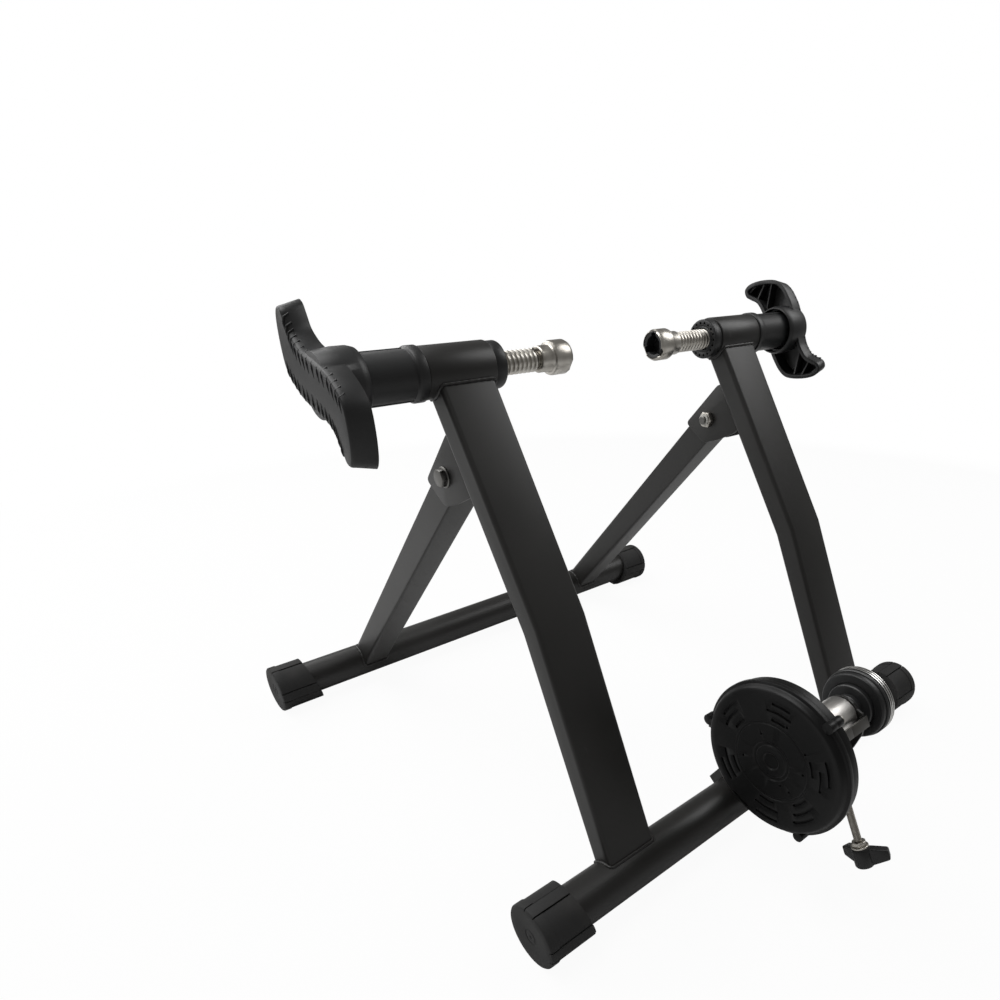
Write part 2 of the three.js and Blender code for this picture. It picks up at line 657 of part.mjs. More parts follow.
const padTop = -plateDrop - seatGap;
const padUnder = padTop - padThickness;
add('thrust_pad', 'zinc', cut(
  joined(post(padRadius, padUnder, padTop - padCrownHeight, screwX, -screwAhead),
    dome(padRadius, padCrownRadius, padTop - padCrownHeight, padTop, screwX, -screwAhead)),
  post(screwRadius - armGap, padUnder - overrun, padUnder + padThickness / 2, screwX, -screwAhead)), unit);

const knobTop = -mountNutPlateDrop - screwBelowMount;
const screwTip = padUnder + padThickness / 2 - seatGap;
add('adjusting_screw', 'zinc', joined(
  post(screwRadius, knobTop - screwGripDepth, padUnder - seatGap, screwX, -screwAhead),
  post(screwRadius - 2 * armGap, padUnder - overrun, screwTip, screwX, -screwAhead)), unit);

const jamTop = knobTop + seatGap + jamWasherHeight + jamNutHeight;
add('jam_nut', 'zinc', cut(
  joined(post(screwHexCorners / 2, knobTop + seatGap + jamWasherHeight / 2, jamTop, screwX, -screwAhead, 6),
    post(jamWasherRadius, knobTop + seatGap, knobTop + seatGap + jamWasherHeight, screwX, -screwAhead)),
  post(screwRadius + runGap, knobTop - overrun, jamTop + overrun, screwX, -screwAhead)), unit);

// One wing of the knob, tapering towards its tip
function knobWing(degrees) {
  const tipHalf = knobHubHeight * knobTipShare / 2;
  const middle = knobTop - knobHubHeight / 2;
  const outline = [[0, middle - knobHubHeight / 2], [knobHubRadius, middle - knobHubHeight / 2],
    [knobWingReach, middle - tipHalf], [knobWingReach, middle + tipHalf],
    [knobHubRadius, middle + knobHubHeight / 2], [0, middle + knobHubHeight / 2]];
  const shape = new THREE.Shape(outline.map(([reach, z]) => new THREE.Vector2(reach, z)));
  const geometry = new THREE.ExtrudeGeometry(shape, { depth: knobWingThickness, bevelEnabled: false });
  geometry.translate(0, 0, -knobWingThickness / 2);
  geometry.rotateX(Math.PI / 2);
  geometry.rotateZ(radians(degrees));
  geometry.translate(screwX, -screwAhead, 0);
  return asSolid(geometry);
}

add('adjuster_knob', 'blackPlastic', cut(
  joined(post(knobHubRadius, knobTop - knobHubHeight, knobTop, screwX, -screwAhead, 24), ...knobWingDegrees.map(knobWing)),
  post(screwRadius + seatGap, knobTop - screwGripDepth - seatGap, knobTop + overrun, screwX, -screwAhead)), unit);

// Roller, shaft and bearings

add('roller', 'steel', pipe(rollerRadius, shaftRadius + seatGap, rollerLeftX, rollerRightX), unit);
const bearingBore = shaftRadius + runGap;
const leftBearingX = cheekLeftX - bearingWidth + armGap;
const rightBearingX = cheekRightX - armGap;
add('bearing_left', 'steel', pipe(bearingRadius, bearingBore, leftBearingX, leftBearingX + bearingWidth, 0, 0, 24), unit);
add('bearing_right', 'steel', pipe(bearingRadius, bearingBore, rightBearingX, rightBearingX + bearingWidth, 0, 0, 24), unit);

// Magnetic brake: housing, cover, fixed and moving magnet plates and the rotor disc

const housingBackX = -60;
const housingSplitX = -67;
const coverFaceX = -76;
const housingRadius = 59;
const coverRadius = 61;
const casingWall = 2.2;
const coverEdgeBevel = 3;
const lugWorldDegrees = [3, 127, 240];
const lugRadius = 4;
const lugCentre = 61;
const inletWorldDegrees = -5;
const inletReach = 66;
const inletHalfWidth = 3.5;
const casingScrewRadius = 1.9;
const casingScrewHead = 3.8;
const casingScrewHeadHeight = 2.6;
const hubClear = 12;

const lugPlaces = lugWorldDegrees.map((degrees) => {
  const angle = radians(degrees + screwLeanDegrees);
  return [lugCentre * Math.cos(angle), lugCentre * Math.sin(angle)];
});
const lugs = (fromX, toX) => lugPlaces.map(([y, z]) => rod(lugRadius, fromX, toX, y, z, smallSteps));
const lugHoles = (fromX, toX, radius) => lugPlaces.map(([y, z]) => rod(radius, fromX, toX, y, z, 12));

function housing() {
  const inner = housingRadius - casingWall;
  const dish = joined(
    pipe(housingRadius, inner, housingSplitX, housingBackX), pipe(housingRadius - casingWall / 2, hubClear,
      housingBackX - casingWall, housingBackX), ...lugs(housingSplitX, housingBackX));
  const angle = radians(inletWorldDegrees + screwLeanDegrees);
  const turn = (reach, side) => [reach * Math.cos(angle) - side * Math.sin(angle),
    reach * Math.sin(angle) + side * Math.cos(angle)];
  const inlet = plate([turn(inner + casingWall / 2, -inletHalfWidth), turn(inletReach, -inletHalfWidth),
    turn(inletReach, inletHalfWidth), turn(inner + casingWall / 2, inletHalfWidth)], housingSplitX, housingBackX);
  const room = rod(inner, housingSplitX - overrun, housingBackX - casingWall, 0, 0);
  return cut(joined(dish, inlet), room, ...lugHoles(housingSplitX - overrun, housingBackX + overrun, casingScrewRadius + seatGap));
}

add('brake_housing', 'blackPlastic', housing(), unit);

const coverInnerX = coverFaceX + casingWall;
const coverSeamX = housingSplitX - seatGap;
const bossRadius = hubClear - seatGap;
const bossBore = 9.6;
const bossReach = 2.4;

function brakeCover() {
  const inner = coverRadius - casingWall;
  const shell = turned([
    [coverSeamX, inner], [coverSeamX, coverRadius], [coverFaceX + coverEdgeBevel, coverRadius],
    [coverFaceX, coverRadius - coverEdgeBevel], [coverFaceX, 0], [coverInnerX, 0], [coverInnerX, inner], [coverSeamX, inner]]);
  const boss = pipe(bossRadius, bossBore, coverInnerX - casingWall / 2, coverInnerX + bossReach);
  const room = rod(inner, coverInnerX, coverSeamX + overrun);
  const solidLugs = cut(joined(...lugs(coverFaceX + coverEdgeBevel, coverSeamX)), room);
  return cut(joined(shell, boss, solidLugs),
    ...lugHoles(coverFaceX + 2 * coverEdgeBevel, coverSeamX + overrun, casingScrewRadius + seatGap));
}

add('brake_cover', 'blackPlastic', brakeCover(), unit);

const screwHeadX = housingBackX + seatGap;
lugPlaces.forEach(([y, z], i) => add(`casing_screw_${i + 1}`, 'steel', joined(
  rod(casingScrewRadius, coverFaceX + 2 * coverEdgeBevel + seatGap, screwHeadX + casingScrewHeadHeight / 2, y, z, 12),
  rod(casingScrewHead, screwHeadX, screwHeadX + casingScrewHeadHeight, y, z, 12)), unit));

const magnetCount = 8;
const magnetCentre = 34;
const magnetRadius = 7;
const magnetThickness = 2.2;
const keeperThickness = 1.5;
const keeperRadius = 46;
const rotorRadius = 47;
const rotorThickness = 1.5;
const rotorHubRadius = 9;

function magnetPlate(keeperX, magnetX) {
  const magnets = Array.from({ length: magnetCount }, (_, i) => {
    const angle = 2 * Math.PI * i / magnetCount;
    return rod(magnetRadius, Math.min(magnetX, keeperX + keeperThickness / 2), Math.max(magnetX + magnetThickness,
      keeperX + keeperThickness / 2), magnetCentre * Math.cos(angle), magnetCentre * Math.sin(angle), 12);
  });
  return joined(pipe(keeperRadius, hubClear, keeperX, keeperX + keeperThickness), ...magnets);
}

const fixedKeeperX = housingBackX - casingWall - seatGap - keeperThickness;
const fixedMagnetX = fixedKeeperX - magnetThickness;
const rotorX = fixedMagnetX - armGap - rotorThickness;
const movingMagnetX = rotorX - armGap - magnetThickness;
const movingKeeperX = movingMagnetX - keeperThickness;
add('fixed_magnet_plate', 'magnet', magnetPlate(fixedKeeperX, fixedMagnetX), unit);
add('moving_magnet_plate', 'magnet', magnetPlate(movingKeeperX, movingMagnetX), unit);

const rotorHubEndX = rotorX - armGap;
const rotorHubStartX = housingBackX - casingWall;
add('brake_rotor', 'aluminium', joined(
  pipe(rotorRadius, shaftRadius + runGap, rotorX, rotorX + rotorThickness),
  pipe(rotorHubRadius, shaftRadius + runGap, rotorHubEndX, rotorHubStartX)), unit);

// Flywheel on the other end of the shaft

const flywheelGap = 0.5;
const flywheelHubLength = 4;
const flywheelHubRadius = 12;
const flywheelRingRadius = 19.5;
const flywheelRimX = 36;
const flywheelRimWidth = 10;
const flywheelRadius = 29;
const flywheelFaceThickness = 5;
const flywheelFaceRadius = 27.6;
const flywheelDish = 2.5;
const flywheelDishRadius = 22;

const flywheelHubX = rightBearingX + bearingWidth + flywheelGap;
const flywheelRingX = flywheelHubX + flywheelHubLength;
const flywheelEndX = flywheelRimX + flywheelRimWidth;
const shaftBore = shaftRadius + runGap;
add('flywheel', 'steel', turned([
  [flywheelHubX, shaftBore], [flywheelHubX, flywheelHubRadius], [flywheelRingX, flywheelHubRadius],
  [flywheelRingX, flywheelRingRadius], [flywheelRimX, flywheelRingRadius], [flywheelRimX, flywheelRadius],
  [flywheelEndX, flywheelRadius], [flywheelEndX, flywheelDishRadius], [flywheelEndX - flywheelDish, flywheelDishRadius],
  [flywheelEndX - flywheelDish, shaftBore], [flywheelHubX, shaftBore]]), unit);
add('flywheel_face', 'blackPlastic', pipe(flywheelFaceRadius, flywheelRingRadius + seatGap,
  flywheelRimX - seatGap - flywheelFaceThickness, flywheelRimX - seatGap), unit);

const shaftNutCorners = 17;
const shaftNutHeight = 5;
const shaftNutX = flywheelEndX - flywheelDish + seatGap;
add('shaft_nut', 'steel', cut(hexBar(shaftNutCorners, shaftNutX, shaftNutX + shaftNutHeight),
  rod(shaftBore, shaftNutX - overrun, shaftNutX + shaftNutHeight + overrun, 0, 0, 24)), unit);
add('roller_shaft', 'steel', rod(shaftRadius, rotorHubEndX, shaftNutX + shaftNutHeight + armGap, 0, 0, 24), unit);

// The origin lies on the floor under the middle of the part
const knobDrop = mountNutPlateDrop + screwBelowMount + knobHubHeight / 2;
const knobTipDrop = knobDrop - knobHubHeight * knobTipShare / 2;
const wingAngle = radians(knobWingDegrees[0]);
const wingTipY = knobWingReach * Math.sin(wingAngle) - knobWingThickness / 2 * Math.cos(wingAngle);
const foremost = rollerY + (wingTipY - screwAhead) * Math.cos(lean) - (2 * knobDrop - knobTipDrop) * Math.sin(lean);
const rearmost = wheelbase + capRadius;
trainer.position.y = -(foremost + rearmost) / 2;

export default trainer;
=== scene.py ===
from math import atan2, copysign, cos, hypot, pi, radians, sin, sqrt
import bpy
from mathutils import Matrix, Vector


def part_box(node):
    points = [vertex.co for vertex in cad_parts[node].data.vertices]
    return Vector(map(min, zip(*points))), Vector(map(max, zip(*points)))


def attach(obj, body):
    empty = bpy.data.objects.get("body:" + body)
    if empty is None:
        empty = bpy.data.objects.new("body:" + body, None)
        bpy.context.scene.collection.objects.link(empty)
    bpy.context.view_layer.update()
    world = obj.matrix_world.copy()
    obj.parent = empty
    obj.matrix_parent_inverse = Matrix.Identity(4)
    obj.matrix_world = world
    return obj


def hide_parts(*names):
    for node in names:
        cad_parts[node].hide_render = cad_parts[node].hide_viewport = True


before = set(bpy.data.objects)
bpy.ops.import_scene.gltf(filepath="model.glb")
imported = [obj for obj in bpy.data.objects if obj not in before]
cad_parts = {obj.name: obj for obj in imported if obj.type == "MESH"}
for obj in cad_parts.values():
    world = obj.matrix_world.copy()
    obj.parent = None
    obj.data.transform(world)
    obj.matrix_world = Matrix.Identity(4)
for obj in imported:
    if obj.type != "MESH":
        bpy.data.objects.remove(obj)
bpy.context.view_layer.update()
bpy.ops.object.select_all(action="DESELECT")
mm = 0.001  # every length below is written in millimetres
print("frame loaded")


# how pieces are drawn

def only(piece):
    if bpy.context.mode != "OBJECT":
        bpy.ops.object.mode_set(mode="OBJECT")
    bpy.ops.object.select_all(action="DESELECT")
    piece.select_set(True)
    bpy.context.view_layer.objects.active = piece


def placed(name, place=None, piece=None):  # names the last piece drawn, or another, and sets it in its place
    piece = piece or bpy.context.view_layer.objects.active
    only(piece)
    piece.name = piece.data.name = name
    bpy.context.view_layer.update()
    if place is not None:
        piece.matrix_world = place @ piece.matrix_world
    bpy.ops.object.transform_apply(location=True, rotation=True, scale=True)
    if sum(face.center.dot(face.normal) * face.area for face in piece.data.polygons) < 0:  # it came out inside out
        bpy.ops.object.mode_set(mode="EDIT")
        bpy.ops.mesh.select_all(action="SELECT")
        bpy.ops.mesh.flip_normals()
        bpy.ops.object.mode_set(mode="OBJECT")
    return piece


def drop(*pieces):
    for piece in pieces:
        bpy.data.objects.remove(piece, do_unlink=True)


def drawLine(points, closed=True):  # a run of edges, left in edit mode with all selected
    points = [Vector(point) * mm for point in points]
    bpy.ops.mesh.primitive_plane_add(size=mm, enter_editmode=True, location=points[0])
    bpy.ops.mesh.select_mode(type="VERT")
    bpy.ops.mesh.merge(type="CENTER")
    if closed:
        points.append(points[0])
    for last, point in zip(points, points[1:]):
        bpy.ops.mesh.extrude_vertices_move(TRANSFORM_OT_translate={"value": point - last})
    bpy.ops.mesh.select_all(action="SELECT")
    bpy.ops.mesh.remove_doubles(threshold=2e-6)


def closeUp():
    bpy.ops.mesh.select_all(action="SELECT")
    bpy.ops.mesh.remove_doubles(threshold=2e-6)
    bpy.ops.mesh.normals_make_consistent(inside=False)


def spun(name, profile, place=None, segments=64):  # (x, radius) points turned about X
    drawLine([(x, 0, r) for x, r in profile], closed=profile[0][1] > 0)  # a line from the axis to the axis stays open
    bpy.ops.mesh.spin(steps=segments, angle=2 * pi, center=(0, 0, 0), axis=(1, 0, 0))
    closeUp()
    return placed(name, place)


def rodded(name, radius, fromX, toX, place=None, segments=32):
    return spun(name, [(fromX, 0), (fromX, radius), (toX, radius), (toX, 0)], place, segments)


def pinned(name, radius, tip, root, chamfer, segments=32):  # a rod with a chamfer at its tip
    neck = tip + copysign(chamfer, root - tip)
    return spun(name, [(tip, 0), (tip, radius - chamfer), (neck, radius), (root, radius), (root, 0)], None, segments)


def evenLine(a, b, ends):  # a profile from a to b with the same (depth, radius) points at both ends
    return [(a + depth, r) for depth, r in ends] + [(b - depth, r) for depth, r in reversed(ends)]


def pulled(outline, steps):  # (y, z) outline pulled along X, with its size at every step
    (fromX, last), rest = steps[0], steps[1:]
    drawLine([(fromX, y * last, z * last) for y, z in outline])
    bpy.ops.mesh.edge_face_add()
    for x, share in rest:
        bpy.ops.mesh.extrude_region_move(TRANSFORM_OT_translate={"value": ((x - fromX) * mm, 0, 0)})
        bpy.ops.transform.resize(value=(1, share / last, share / last), center_override=(x * mm, 0, 0))
        fromX, last = x, share


def lofted(name, outline, steps, place=None):
    pulled(outline, steps)
    closeUp()
    return placed(name, place)


def plated(name, outline, fromX, toX, place=None):
    return lofted(name, outline, [(fromX, 1), (toX, 1)], place)


def boxed(name, low, high, place=None):
    centre = [(a + b) / 2 * mm for a, b in zip(low, high)]
    size = [(b - a) * mm for a, b in zip(low, high)]
    bpy.ops.mesh.primitive_cube_add(size=1, location=centre, scale=size)
    return placed(name, place)


def modify(piece, kind, **settings):
    only(piece)
    modifier = piece.modifiers.new(kind.title(), kind)
    for key, value in settings.items():
        setattr(modifier, key, value)
    bpy.ops.object.modifier_apply(modifier=modifier.name)
    return piece


def carve(piece, *tools, operation="DIFFERENCE"):
    for tool in tools:
        modify(piece, "BOOLEAN", operation=operation, object=tool, solver="EXACT")
        drop(tool)
    return piece


def joinUp(piece, *others):
    only(piece)
    for other in others:
        other.select_set(True)
    bpy.ops.object.join()
    return piece


def smooth(piece, angle=35):
    only(piece)
    bpy.ops.object.shade_smooth_by_angle(angle=radians(angle))
    return piece


def soften(piece, width=0.5, segments=2, angle=32):
    modify(piece, "BEVEL", width=width * mm, segments=segments, limit_method="ANGLE", angle_limit=radians(angle))
    return smooth(piece)


def bevelFlat(piece, width, segments, least=0):  # rounds the edges that lie across X and are longer than least
    only(piece)
    bpy.ops.object.mode_set(mode="EDIT")
    bpy.ops.mesh.select_mode(type="EDGE")
    bpy.ops.mesh.select_all(action="DESELECT")
    bpy.ops.object.mode_set(mode="OBJECT")
    spots = [vertex.co / mm for vertex in piece.data.vertices]
    for edge in piece.data.edges:
        a, b = (spots[i] for i in edge.vertices)
        edge.select = abs(a.x - b.x) < 0.1 and (a - b).length > least
    bpy.ops.object.mode_set(mode="EDIT")
    bpy.ops.mesh.bevel(offset=width * mm, segments=segments, affect="EDGES")
    bpy.ops.object.mode_set(mode="OBJECT")
    return piece


def copied(piece, name, place):
    only(piece)
    bpy.ops.object.duplicate(linked=False)
    return placed(name, place)


def rounded(outline, radius, steps=4):  # an outline with every corner turned to a short bow
    result = []
    for i, corner in enumerate(outline):
        corner = Vector(corner)
        before, after = Vector(outline[i - 1]) - corner, Vector(outline[(i + 1) % len(outline)]) - corner
        back = min(radius, before.length / 2.1, after.length / 2.1)
        start, end = corner + before.normalized() * back, corner + after.normalized() * back
        for k in range(steps + 1):
            t = k / steps
            result.append(tuple((1 - t) ** 2 * start + 2 * t * (1 - t) * corner + t ** 2 * end))
    return result


def bow(radius, fromDegrees, toDegrees, steps=12, centre=(0, 0)):
    angles = [radians(fromDegrees + (toDegrees - fromDegrees) * i / steps) for i in range(steps + 1)]
    return [(centre[0] + radius * cos(a), centre[1] + radius * sin(a)) for a in angles]


def hexed(name, corners, height, bore=0, place=None):  # a nut or bolt head along X with chamfered corners
    radius = corners / 2
    nut = plated(name, bow(radius, 0, 300, 5), 0, height)
    ends = [(0, 0), (0, radius * 0.87), (height * 0.14, radius * 1.01)]
    carve(nut, spun("chamfer", evenLine(0, height, ends), segments=48), operation="INTERSECT")
    if bore:
        carve(nut, rodded("bore", bore, -1, height + 1))
    soften(nut, 0.15, 1)
    return placed(name, place)


def threaded(name, radius, depth, pitch, fromX, toX, steps):  # a screw thread with closed ends
    marks = [(0, 0), (0.18, 0), (0.38, 1), (0.68, 1), (0.88, 0), (1, 0)]
    drawLine([(share * pitch, 0, radius - depth + high * depth) for share, high in marks], closed=False)
    piece = placed(name)
    turns = int((toX - fromX) / pitch)
    modify(piece, "SCREW", axis="X", screw_offset=pitch * mm, iterations=turns, steps=steps, render_steps=steps,
           use_merge_vertices=True, merge_threshold=1e-6)
    only(piece)
    bpy.ops.object.mode_set(mode="EDIT")
    bpy.ops.mesh.select_all(action="SELECT")
    bpy.ops.mesh.remove_doubles(threshold=2e-6)
    bpy.ops.mesh.fill_holes(sides=0)
    closeUp()
    return placed(name, move(fromX + ((toX - fromX) - turns * pitch) / 2, 0, 0))


def beaded(name, path, radius):  # a weld bead along a closed run of points
    drawLine(path)
    bpy.ops.object.mode_set(mode="OBJECT")
    bpy.ops.object.convert(target="CURVE")
    curve = bpy.context.view_layer.objects.active.data
    curve.bevel_depth, curve.bevel_resolution = radius * mm, 2
    curve.splines[0].use_cyclic_u = True
    for i, point in enumerate(curve.splines[0].points):
        point.radius = 1 + 0.14 * sin(i * 1.9)
    bpy.ops.object.convert(target="MESH")
    return smooth(placed(name), 60)


def move(x, y, z):
    return Matrix.Translation(Vector((x, y, z)) * mm)


def turn(degrees, axis):
    return Matrix.Rotation(radians(degrees), 4, axis)


mirrored = (("right", Matrix()), ("left", Matrix.Scale(-1, 4, (1, 0, 0))))
turned = (("right", Matrix()), ("left", turn(180, "Z")))


# places, read from the frame

def middle(node):
    low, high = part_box(node)
    return [(a + b) / 2 / mm for a, b in zip(low, high)]


def spanX(node):
    low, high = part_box(node)
    return low[0] / mm, high[0] / mm


tubeZ = middle("front_base_tube")[2]
frontY, rearY = middle("front_base_tube")[1], middle("rear_base_tube")[1]
clampY, clampZ = middle("clamp_tube_right")[1:]
hingeX, hingeY, hingeZ = middle("hinge_bush_right")
rollerY, rollerZ = middle("roller")[1:]
leanDegrees = 28.7  # of the resistance unit, about the roller
onFront, onClamp, onHinge = move(0, frontY, tubeZ), move(0, clampY, clampZ), move(0, hingeY, hingeZ)
onUnit = move(0, rollerY, rollerZ) @ turn(-leanDegrees, "X")
crossTubes = (("front", frontY, "base_frame"), ("rear", rearY, "rear_frame"))


# finishes

class Signal:  # a shader value that takes part in sums
    def __init__(self, paint, socket):
        self.paint, self.socket = paint, socket

    def maths(self, operation, *values):
        return self.paint.node("ShaderNodeMath", {"operation": operation}, dict(enumerate(values)))

    def __add__(self, other):
        return self.maths("ADD", self, other)

    __radd__ = __add__

    def __sub__(self, other):
        return self.maths("SUBTRACT", self, other)

    def __rsub__(self, other):
        return self.maths("SUBTRACT", other, self)

    def __mul__(self, other):
        return self.maths("MULTIPLY", self, other)

    def __abs__(self):
        return self.maths("ABSOLUTE", self)

    def top(self, other):
        return self.maths("MAXIMUM", self, other)

    def root(self):
        return self.maths("SQRT", self)

    def fade(self, low, high):  # 0 at low and 1 at high, with soft ends
        return self.paint.node("ShaderNodeMapRange", {"interpolation_type": "SMOOTHSTEP", "clamp": True},
                               {"Value": self, "From Min": low, "From Max": high}, "Result")


class Paint:
    def __init__(self, name, **fixed):
        self.material = bpy.data.materials.new(name)
        self.material.use_nodes = True
        self.nodes, self.links = self.material.node_tree.nodes, self.material.node_tree.links
        self.shader = self.nodes["Principled BSDF"]
        self.spot = self.node("ShaderNodeTexCoord", {}, {}, "Object")
        self.feed(**fixed)

    def node(self, kind, settings, inputs, output=0):
        node = self.nodes.new(kind)
        for key, value in settings.items():
            setattr(node, key, value)
        for key, value in inputs.items():
            self.join(node.inputs[key], value)
        return Signal(self, node.outputs[output])

    def join(self, socket, value):
        if isinstance(value, Signal):
            self.links.new(value.socket, socket)
        else:
            socket.default_value = (*value, 1) if socket.type == "RGBA" else value

    def feed(self, **values):  # baseColor=..., roughness=... onto the shader
        for key, value in values.items():
            words = "".join(" " + letter if letter.isupper() else letter for letter in key).title()
            self.join(self.shader.inputs[words.replace("Ior", "IOR")], value)

    def noise(self, scale, detail=2, rough=0.5, where=None):
        inputs = {"Vector": where or self.spot, "Scale": scale, "Detail": detail, "Roughness": rough}
        return self.node("ShaderNodeTexNoise", {}, inputs, "Fac")

    def stretched(self, sizes):
        return self.node("ShaderNodeMapping", {}, {"Vector": self.spot, "Scale": sizes})

    def rings(self):  # left by the lathe, they run round the X axis
        return self.noise(1, 3, 0.7, self.stretched((2600, 8, 8)))

    def along(self, axis):
        return self.node("ShaderNodeSeparateXYZ", {}, {0: self.spot}, axis)

    def blend(self, share, first, second):
        return self.node("ShaderNodeMix", {"data_type": "RGBA"}, {0: share, 6: first, 7: second}, 2)

    def bump(self, height, strength, distance):
        return self.node("ShaderNodeBump", {}, {"Height": height, "Strength": strength, "Distance": distance})


def tinted(shade, share, more=0):
    return tuple(v * share + more for v in shade)


def powderCoat():  # satin charcoal powder coat with a faint orange peel
    paint = Paint("Satin Powder Coat", specularIorLevel=0.4)
    cloud = paint.noise(9, 3)
    peel = paint.noise(1250, 2, 0.55)
    grit = paint.noise(3600, 1)
    scuff = paint.noise(70, 6, 0.7, paint.stretched((1, 1, 0.35))).fade(0.66, 0.75)
    colour = paint.blend(cloud.fade(0.35, 0.7), (0.0092, 0.0088, 0.0082), (0.0130, 0.0125, 0.0117))
    paint.feed(baseColor=paint.blend(scuff * 0.35, colour, (0.06, 0.06, 0.06)),
               roughness=0.36 + cloud * 0.12 + scuff * 0.12,
               normal=paint.bump(peel + grit * 0.3, 0.14, 0.00025))
    return paint.material


def mouldedPlastic(name, shade, rough, grain=2400, gloss=0.4):  # fine spark-eroded grain
    paint = Paint(name, specularIorLevel=gloss)
    cloud = paint.noise(14, 3)
    pits = paint.noise(grain, 2, 0.6)
    rub = paint.noise(95, 5, 0.65).fade(0.62, 0.75)
    colour = paint.blend(cloud.fade(0.3, 0.7), tinted(shade, 0.85), tinted(shade, 1.15))
    paint.feed(baseColor=paint.blend(rub * 0.2, colour, tinted(shade, 2, 0.008)),
               roughness=rough + cloud * 0.1 - rub * 0.08, normal=paint.bump(pits, 0.2, 0.0002))
    return paint.material


def rubberSkin():
    paint = Paint("Dusty Rubber", specularIorLevel=0.3)
    cloud, speck = paint.noise(22, 4), paint.noise(1500, 2, 0.7)
    paint.feed(baseColor=paint.blend(cloud.fade(0.45, 0.75), (0.013, 0.013, 0.013), (0.026, 0.025, 0.024)),
               roughness=0.62 + cloud * 0.18, normal=paint.bump(speck, 0.3, 0.0002))
    return paint.material


def zincPlate():
    paint = Paint("Bright Zinc Plate", metallic=1.0)
    cloud, stain = paint.noise(60, 4), paint.noise(420, 5, 0.7)
    colour = paint.blend(cloud.fade(0.3, 0.7), (0.38, 0.36, 0.325), (0.56, 0.54, 0.50))
    paint.feed(baseColor=paint.blend(stain.fade(0.55, 0.75) * 0.4, colour, (0.26, 0.24, 0.21)),
               roughness=0.24 + stain * 0.18, normal=paint.bump(stain, 0.06, 0.0001))
    return paint.material


def turnedSteel(name, marks=None):
    paint = Paint(name, metallic=1.0)
    rings, cloud = paint.rings(), paint.noise(45, 4)
    colour = paint.blend(cloud.fade(0.3, 0.75), (0.72, 0.70, 0.67), (0.86, 0.84, 0.81))
    rough = 0.22 + rings * 0.14 + cloud * 0.06
    if marks:  # the tyre has rubbed a dull band on it
        half = marks["half"] * mm
        apart = abs(paint.along(0) - marks["centre"] * mm)
        band = (1 - apart.fade(half * 0.45, half)) * paint.noise(180, 5, 0.7).fade(0.3, 0.62)
        colour = paint.blend(band * marks["depth"], colour, (0.17, 0.165, 0.16))
        rough = rough + band * 0.16
    paint.feed(baseColor=colour, roughness=rough, normal=paint.bump(rings, 0.05, 0.0001))
    return paint.material


def paintedFlywheel():  # black all over but for the turned part of its rim
    paint = Paint("Painted Flywheel")
    rings, across, up = paint.rings(), paint.along(1) - rollerY * mm, paint.along(2) - rollerZ * mm
    radius = (across * across + up * up).root()
    bare = paint.along(0).fade(39.4 * mm, 39.6 * mm) * radius.fade(28.4 * mm, 28.6 * mm)
    paint.feed(baseColor=paint.blend(bare, (0.014, 0.0143, 0.0148), (0.66, 0.655, 0.64)), metallic=bare,
               roughness=0.36 - bare * 0.14 + rings * 0.1, normal=paint.bump(rings, 0.06, 0.0001))
    return paint.material


def plainMetal(name, shade, rough):
    paint = Paint(name, metallic=1.0)
    cloud = paint.noise(120, 5, 0.6)
    paint.feed(baseColor=paint.blend(cloud, tinted(shade, 0.8), shade), roughness=rough + cloud * 0.15,
               normal=paint.bump(paint.noise(900, 3), 0.08, 0.0001))
    return paint.material


def nylonRing():
    paint = Paint("Nylon Ring", roughness=0.5)
    paint.feed(baseColor=paint.blend(paint.noise(400, 3), (0.52, 0.51, 0.47), (0.62, 0.61, 0.58)))
    return paint.material


finishes = {
    "coat": (powderCoat(), "black_powder_coat"),
    "plastic": (mouldedPlastic("Grained Black Plastic", (0.0085, 0.0088, 0.0092), 0.38), "black_plastic"),
    "casing": (mouldedPlastic("Casing Plastic", (0.0042, 0.0043, 0.0044), 0.33, 3000, 0.2), "black_plastic"),
    "rubber": (rubberSkin(), "black_rubber"),
    "zinc": (zincPlate(), "zinc_plate"),
    "steel": (turnedSteel("Turned Steel"), "bright_steel"),
    "flywheel": (paintedFlywheel(), "bright_steel"),
    "roller": (turnedSteel("Ground Roller Steel", {"centre": -18, "half": 17, "depth": 0.35}), "bright_steel"),
    "aluminium": (plainMetal("Rolled Aluminium", (0.62, 0.63, 0.65), 0.32), "aluminium"),
    "magnet": (plainMetal("Sintered Magnet", (0.2, 0.2, 0.21), 0.45), "magnet_plate"),
    "dark": (plainMetal("Blackened Bolt", (0.15, 0.147, 0.14), 0.3), "zinc_plate"),
    "dull": (plainMetal("Dull Steel Strip", (0.13, 0.127, 0.12), 0.36), "zinc_plate"),
    "nylon": (nylonRing(), "bright_steel"),
}


def paintOver(piece, finish):
    piece.data.materials.clear()
    piece.data.materials.append(finishes[finish][0])
    return piece


def dress(piece, finish, body, *nodes):
    paintOver(piece, finish)
    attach(piece, body)
    if nodes:
        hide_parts(*nodes)


print("finishes mixed")


# foot caps

cap = {"length": 46, "topLength": 33, "radius": 25.2, "panelRadius": 24.5, "panelHalf": 33, "flange": 8, "socket": 18.3,
       "wall": 4, "grooveHalf": 0.55, "grooveDepth": 2.2}


